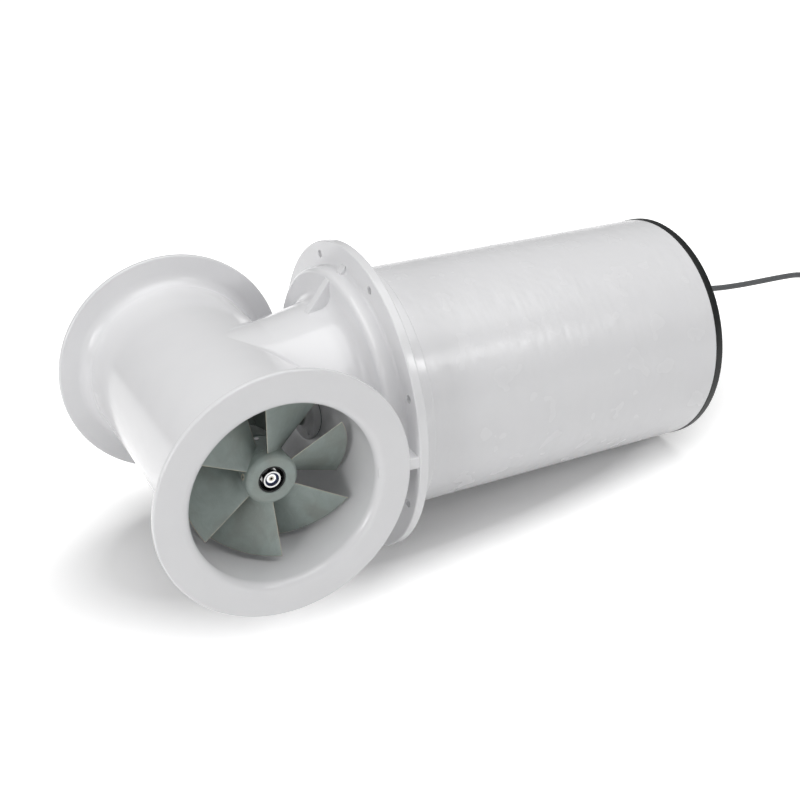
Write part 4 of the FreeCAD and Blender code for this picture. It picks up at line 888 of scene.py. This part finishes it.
# %% Rolling-ball fillet
def rolled_fillet(ball, sunk=2.5, steps=8):
    """Closed strip between tunnel and neck.

    The centre lies at the tunnel's radius plus the ball's from the X axis, and at the neck's
    radius plus the ball's from the Y axis. The arc turns evenly from one touch to the other, and
    a last row behind it is sunk in the walls.
    """
    angle = full_turn(NECK_COLUMNS) + math.pi / NECK_COLUMNS
    y = neck_meets(TUNNEL_OUTSIDE + ball, angle, ball)
    centre = about("Y", y, neck_radius(y) + ball, angle)
    to_tunnel = -centre * np.array([0.0, 1.0, 1.0]) / (TUNNEL_OUTSIDE + ball)
    lean = np.where(y > NECK_STRAIGHT, NECK_SLOPE, 0.0)
    to_neck = -np.stack([np.cos(angle), -lean, np.sin(angle)], axis=-1)
    to_neck /= np.linalg.norm(to_neck, axis=-1, keepdims=True)
    to_tunnel /= np.linalg.norm(to_tunnel, axis=-1, keepdims=True)
    turn = np.arccos(np.clip((to_tunnel * to_neck).sum(axis=-1), -1, 0.9999))[None, :, None]
    spokes = swing(to_tunnel, to_neck, turn, np.linspace(0, 1, steps + 1)[:, None, None])
    arcs = centre + ball * spokes
    behind = centre + (ball + sunk) * spokes[steps // 2]
    return np.concatenate([arcs, behind[None]])


fillet_grid = rolled_fillet(9.0)
housing_skin.sheet(fillet_grid, close_rows=True)
fillet_y = fillet_grid[..., 1]
print("fillet lies between y", fillet_y.min().round(1), fillet_y.max().round(1))

# %% [markdown]
# ## Webs, gussets and the drilled flange
# Flat webs tie the collar to the rims, and small gussets stiffen it above and below. Each is a
# plate with rounded edges: its outline shrinks over the last millimetre or so of its thickness by
# one minus the cosine of an angle while its height grows by the sine.

# %% Plates and holes
BOLT_HOLES = 8
BOLT_HOLE = 4.25
BOLT_CIRCLE = 152.5


def soft_plate(corners, half, soft, across):
    """A plate with a rounded outline, moved inwards along its own normals near both faces."""
    outline = rounded(corners, closed=True, gap=5.0, arc_steps=5)
    along = np.roll(outline, -1, axis=0) - np.roll(outline, 1, axis=0)
    outward = np.stack([along[:, 1], -along[:, 0]], axis=1)
    outward /= np.linalg.norm(outward, axis=1, keepdims=True)
    area = np.cross(outline, np.roll(outline, -1, axis=0)).sum()
    outward *= math.copysign(1, area)
    bend = np.linspace(0, math.pi / 2, 5)
    inset = soft * (1 - np.cos(np.concatenate([bend[::-1], bend])))
    rise = half - soft + soft * np.sin(bend)
    level = np.concatenate([-rise[::-1], rise])
    flat = outline[None] - outward[None] * inset[:, None, None]
    height = np.broadcast_to(level[:, None], flat.shape[:2])
    parts = {"Z": (flat[..., 0], flat[..., 1], height), "X": (height, flat[..., 0], flat[..., 1])}
    return np.stack(parts[across], axis=-1)


for side in (1, -1):
    web = [
        (side * 102.0, 94.0, 1.6),
        (side * 164.0, 94.0, 1.6),
        (side * 164.0, 139.5, 1.6),
        (side * 102.0, 139.5, 1.6),
    ]
    housing_skin.sheet(soft_plate(web, 6.0, 1.5, "Z"), caps=True)
    foot = float(neck_radius(92.5))
    gusset = [
        (92.5, side * (foot - 2.0), 1.6),
        (121.5, side * (foot - 2.0), 1.6),
        (121.5, side * 136.0, 1.6),
        (119.0, side * 136.0, 1.3),
    ]
    housing_skin.sheet(soft_plate(gusset, 5.0, 1.2, "X"), caps=True)
    brace = [
        (130.5, side * 139.0, 1.3),
        (139.0, side * 139.0, 1.3),
        (139.0, side * 147.5, 1.3),
        (137.6, side * 147.5, 0.6),
    ]
    housing_skin.sheet(soft_plate(brace, 5.0, 0.5, "X"), caps=True)

drills = Skin()
for number in range(BOLT_HOLES):
    bearing = (number + 0.5) / BOLT_HOLES * 2 * math.pi
    hole = carried_round(np.array([[130.0, BOLT_HOLE], [156.0, BOLT_HOLE]]), "Y", 48)
    drills.sheet(hole + about("Y", 0.0, BOLT_CIRCLE, bearing), caps=True)
housing = housing_skin.piece("tunnel_moulding", "housing", GELCOAT, "tunnel_housing")
flange = neck_skin.piece(
    "flange_moulding", "housing", GELCOAT, "tunnel_housing", holes=drills, edge_angle=40.0
)
print("housing faces", len(housing.data.polygons), "flange faces", len(flange.data.polygons))

# %% [markdown]
# ## The motor tube
# The tube is wound on a mandrel, so it isn't quite round: each layer of roving leaves a swell
# about a tenth of a millimetre high that winds round the tube. The outside is a grid over angle
# and length, its radius the nominal one less the sum of two slow spirals.

# %% Motor tube
TUBE = 130.0
TUBE_WALL = 5.0
TUBE_START = SOCKET_FLOOR + 0.1
TUBE_END = 535.0
SWELL = 0.12


def wound_tube(rows=160, columns=256):
    """Closed wall: a spiral swell below the nominal radius outside, and a plain bore."""
    y = np.linspace(TUBE_START, TUBE_END, rows)[:, None]
    angle = full_turn(columns)
    swell = np.sin(y / 10.5 + angle) * 0.5 + np.sin(y / 31.0 - 2 * angle) * 0.5
    outside = about("Y", y, TUBE - SWELL * (1 + swell) / 2, angle)
    bore = about("Y", np.array([[TUBE_END], [TUBE_START]]), TUBE - TUBE_WALL, angle)
    return np.concatenate([outside, bore])


tube_skin = Skin().sheet(wound_tube(), close_rows=True)
tube = tube_skin.piece("wound_tube", "housing", WOUND, "motor_tube")
print("tube faces", len(tube.data.polygons))

# %% [markdown]
# ## The propeller
# Six blades stand on a round hub. A blade is a sheet ruled from hub to tip: at each angle it is a
# straight line, whose foot and tip move forwards at different rates, so the pitch grows outwards.
# Its section is thickest half way, thins to rounded edges, and swells into the hub at its root.

# %% Blades and hub
HUB_BACK = 86.0
HUB_FRONT = 128.0
HUB = 26.3
BLADES = 6
BLADE_FOOT = 24.0
BLADE_TIP = 85.0
FIRST_BLADE = 33.0
BLADE_SWEEP = 52.0
BACK_EDGE = (17.0, 9.5)
FRONT_EDGE = (36.5, 46.0)
BLADE_MIDDLE = (4.4, 2.4)
BLADE_EDGE = 1.1
TIP_ROUNDING = 0.7
ROOT_SWELL = 5.0
ROOT_FADE = 2.2
WEAR_FADE = 0.9


def between(root_and_tip, share_out):
    """A value that changes evenly from the hub to the blade's tip."""
    root, tip = root_and_tip
    return root + (tip - root) * share_out


def blade_grid(front_angle, sections=44, rows=46):
    """One blade as a closed loop of points at each radius.

    The share s runs from the back edge to the front edge and back again on the other face. Place
    along the axis is the ruled line's, plus or minus half the thickness; thickness is the edge's
    plus the middle's times 4 s (1 - s), rounded off at both ends and at the tip, and grows near
    the hub by a fillet that fades over a couple of millimetres.
    """
    row = np.linspace(0, 1, rows)[:, None]
    outwards = 0.35 * np.sin(row * math.pi / 2) + 0.65 * row
    radius = BLADE_FOOT + (BLADE_TIP - BLADE_FOOT) * outwards
    share_out = (radius - HUB) / (BLADE_TIP - HUB)
    s = (1 - np.cos(np.linspace(0, math.pi, sections))) / 2
    face = np.concatenate([np.ones(sections), -np.ones(sections - 2)])[None, :]
    s = np.concatenate([s, s[-2:0:-1]])[None, :]
    back = between(BACK_EDGE, share_out)
    along = HUB_BACK + back + (between(FRONT_EDGE, share_out) - back) * s
    hump = 4 * s * (1 - s)
    thickness = BLADE_EDGE + (between(BLADE_MIDDLE, share_out) - BLADE_EDGE) * hump
    root = ROOT_SWELL * np.exp(-np.maximum(radius - HUB, 0) / ROOT_FADE) * np.sqrt(hump)
    rounding = np.sqrt(1 - np.abs(2 * s - 1) ** 30)
    past = ((radius - BLADE_TIP + TIP_ROUNDING) / TIP_ROUNDING).clip(0)
    tip = np.sqrt(np.clip(1 - past**2, 0, 1))
    along = along + face * (thickness * rounding * tip + root) / 2
    to_side = np.minimum(s, 1 - s) * math.radians(BLADE_SWEEP) * radius
    worn = np.exp(-np.minimum(to_side, BLADE_TIP - radius) / WEAR_FADE)
    return about("X", along, radius, np.radians(front_angle - BLADE_SWEEP * (1 - s))), worn


blades = Skin()
for number in range(BLADES):
    surface, worn = blade_grid(FIRST_BLADE + 360 / BLADES * number)
    blades.sheet(surface, caps=True, worn=worn)
hub_profile = rounded(
    [
        (HUB_BACK, 7.6),
        (HUB_BACK, HUB, 1.0),
        (115.0, HUB, 0.25),
        (115.0, HUB - 0.7),
        (115.9, HUB - 0.7),
        (115.9, HUB, 0.25),
        (HUB_FRONT, HUB, 4.5),
        (HUB_FRONT, 13.8, 1.0),
        (114.0, 13.8),
        (114.0, 7.6),
    ],
    closed=True,
    gap=2.0,
)


LOCK_HOLE_X = 119.0
LOCK_HOLE_BEARING = math.radians(168.0)


def at_lock_hole(profile):
    """A profile carried round the lock hole, which looks outwards from the hub's flank."""
    turned = carried_round(np.array(profile), "Y", 32)
    cosine, sine = math.cos(LOCK_HOLE_BEARING), math.sin(LOCK_HOLE_BEARING)
    x, y, z = np.moveaxis(turned, -1, 0)
    return np.stack([x + LOCK_HOLE_X, y * cosine - z * sine, y * sine + z * cosine], axis=-1)


lock_drill = Skin().sheet(at_lock_hole([[15.0, 1.5], [30.0, 1.5]]), caps=True)
hub_skin = Skin().sheet(carried_round(hub_profile, "X", 160), close_rows=True)
hub_skin.piece(
    "propeller_hub", "propeller", COMPOSITE, "propeller", holes=lock_drill, edge_angle=35.0
)
lip = rounded([(25.0, 2.1), (26.7, 2.1, 0.3), (26.7, 3.3, 0.4), (25.0, 3.3)], closed=True)
lip_skin = Skin().sheet(at_lock_hole(lip), close_rows=True, worn=1.0)
lip_skin.piece("lock_hole_lip", "propeller", COMPOSITE, slot="grey_composite")
wheel = blades.piece("propeller_blades", "propeller", COMPOSITE, "propeller", edge_angle=60.0)
print("blade faces", len(wheel.data.polygons))

# %% [markdown]
# ## Rounding what the frame carries as triangles
# The frame's parts arrive as loose triangles. A copy of one is merged into a single skin first,
# and then shaded smooth except over its true edges, so that turned surfaces lose their facets
# while corners stay crisp. Small metal parts keep their exact shape in this way.

# %% Smooth copies of the small parts
def smooth_copy(node, edge_angle=28.0):
    """A merged, smooth-shaded copy of a node that stands for it on the same body."""
    name = "dressed_" + node
    mesh = frame["nodes"][node].data.copy()
    mesh.name = name
    with edited(mesh) as skin:
        bmesh.ops.remove_doubles(skin, verts=skin.verts, dist=MERGE)
    soften(mesh, edge_angle)
    obj = bpy.data.objects.new(name, mesh)
    bpy.context.scene.collection.objects.link(obj)
    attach(obj, BODY_OF[node])
    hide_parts(node)
    return obj


SMOOTHED = [
    "end_cap",
    "cap_ring",
    "cap_screws",
    "cable_gland",
    "gland_nut",
    "cable_boot",
    "gear_leg",
    "gearcase_cover",
    "leg_gasket",
    "leg_bolts",
    "propeller_shaft",
    "propeller_washer",
    # The propeller washer is black nylon, and its black also stands for the shade deep in the hub's recess round
    # the nut.
    "propeller_nut",
    "nut_insert",
    "propeller_shaft_seal",
    "drive_pin",
    "coil_tie",
    "lead_connector",
]
smoothed = {node: smooth_copy(node) for node in SMOOTHED}
dress(smoothed["propeller_shaft"], SHAFT_END_PAINTED_DRILLING)
print("smoothed", len(smoothed))

# %% [markdown]
# ## The lead
# The lead is the spline made above, and it rides with the housing as one rigid piece.

# %% [markdown]
# ## The floor
# The thruster lies on a plain pale surface, which is white to the eye and to anything shiny, and
# keeps a soft shadow under the tube. The glow that whitens it starts outside an ellipse round
# the thruster, so that the cast shadow isn't washed out, and the floor inside the ellipse stays a
# little darker under any lamp: a painted shadow round the thruster on top of the cast one.

# %% Floor
FLOOR_HALF = 6.0
FLOOR_DROP = 0.0002
SHADE_CENTRE = (-0.065, 0.1)
SHADE_HALF = (0.168, 0.41)
GLOW_UNDER = 0.07
GLOW_BEYOND = 0.77


def make_floor():
    """A wide flat sheet in the plane that the thruster rests on, a hair below it."""
    across = np.array([-FLOOR_HALF, FLOOR_HALF])
    x, y = np.meshgrid(across, across, indexing="ij")
    z = rest_height(y) - FLOOR_DROP
    points = np.stack([x, y, z], axis=-1).reshape(-1, 3)
    mesh = bpy.data.meshes.new("floor")
    mesh.from_pydata(points.tolist(), [], [(0, 2, 3, 1)])
    floor = bpy.data.objects.new("floor", mesh)
    bpy.context.scene.collection.objects.link(floor)
    return floor


def floor_finish():
    """Matt white that glows to the eye and in reflections, so that it reaches white.

    The glow is nearly nought under the thruster, where the cast shadow lies, and grows outside an
    ellipse in plan, with the distance from its middle counted in its own half widths, so the
    whole ellipse is also a painted shadow.
    """
    finish = Finish(
        "floor_white",
        Base_Color=(0.86, 0.86, 0.86, 1.0),
        Roughness=0.9,
        Specular_IOR_Level=0.0,
    )
    scale = [1 / half for half in SHADE_HALF] + [0.0]
    shift = [-centre / half for centre, half in zip(SHADE_CENTRE, SHADE_HALF)] + [0.0]
    away = finish.length(finish.mapped(scale, shift=shift))
    # Painted shadow: low glow inside the ellipse leaves the floor there darker under any lamp.
    level = away.above(1.14, 0.5) * (GLOW_BEYOND - GLOW_UNDER) + GLOW_UNDER
    eye = finish.node("ShaderNodeLightPath", output="Is Camera Ray")
    mirror = finish.node("ShaderNodeLightPath", output="Is Glossy Ray")
    glass = finish.node("ShaderNodeLightPath", output="Is Transmission Ray")
    seen = (eye + mirror + glass).held()
    glow = finish.node("ShaderNodeEmission", None, (1.0, 1.0, 1.0, 1.0), seen * level)
    matt = Field(finish, finish.shader.outputs[0])
    whole = finish.node("ShaderNodeAddShader", None, matt, glow)
    finish.feed(finish.tree.nodes["Material Output"].inputs["Surface"], whole)
    return finish.material


floor = make_floor()
dress(floor, floor_finish())
print("floor at the flange's edge", round(rest_height(0.0), 4))

# %% [markdown]
# ## The room and the lamps
# Some of the light comes evenly from a bright room, which is white to the eye. A broad lamp
# overhead models the curves and one on the left lights the flange. A low one looks into the
# mouth, and a small one on the right draws the gloss on the tube and on the rounded edges.

# %% Room and lamps
ROOM_BRIGHTNESS = 0.24
LAMPS = {
    "softbox_overhead": ((0.3, 0.2, 3.2), (0.0, 0.1, 0.0), (3.2, 3.2), 70.0),
    "softbox_left": ((0.4, -2.5, 0.8), (0.0, -0.1, 0.0), (1.4, 1.0), 11.0),
    "softbox_low": ((1.15, -1.85, 0.4), (0.1, -0.15, 0.0), (0.5, 0.5), 7.0),
    "softbox_right": ((2.05, 1.4, 1.75), (0.1, 0.1, 0.0), (0.4, 0.5), 7.0),
}


def light_room(brightness):
    """A white world: it lights evenly with its brightness, and the eye sees it as full white."""
    world = bpy.data.worlds.new("bright_room")
    world.use_nodes = True
    room = Tree(world.node_tree)
    eye = room.node("ShaderNodeLightPath", output="Is Camera Ray")
    glass = room.node("ShaderNodeLightPath", output="Is Transmission Ray")
    sky = world.node_tree.nodes["Background"].inputs
    sky["Color"].default_value = (1.0, 1.0, 1.0, 1.0)
    room.feed(sky["Strength"], (eye + glass).held() * (1 - brightness) + brightness)
    bpy.context.scene.world = world


def area_lamp(name, place, aim, size, watts):
    """A softbox that faces a point."""
    lamp = bpy.data.lights.new(name, "AREA")
    lamp.shape = "RECTANGLE"
    lamp.size, lamp.size_y = size
    lamp.energy = watts
    obj = bpy.data.objects.new(name, lamp)
    obj.location = place
    towards = Vector(aim) - Vector(place)
    obj.rotation_euler = towards.to_track_quat("-Z", "Y").to_euler()
    bpy.context.scene.collection.objects.link(obj)


light_room(ROOM_BRIGHTNESS)
for name, (place, aim, size, watts) in LAMPS.items():
    area_lamp(name, place, aim, size, watts)
bpy.context.scene.view_settings.view_transform = "Standard"
print("lamps", len(bpy.data.lights))
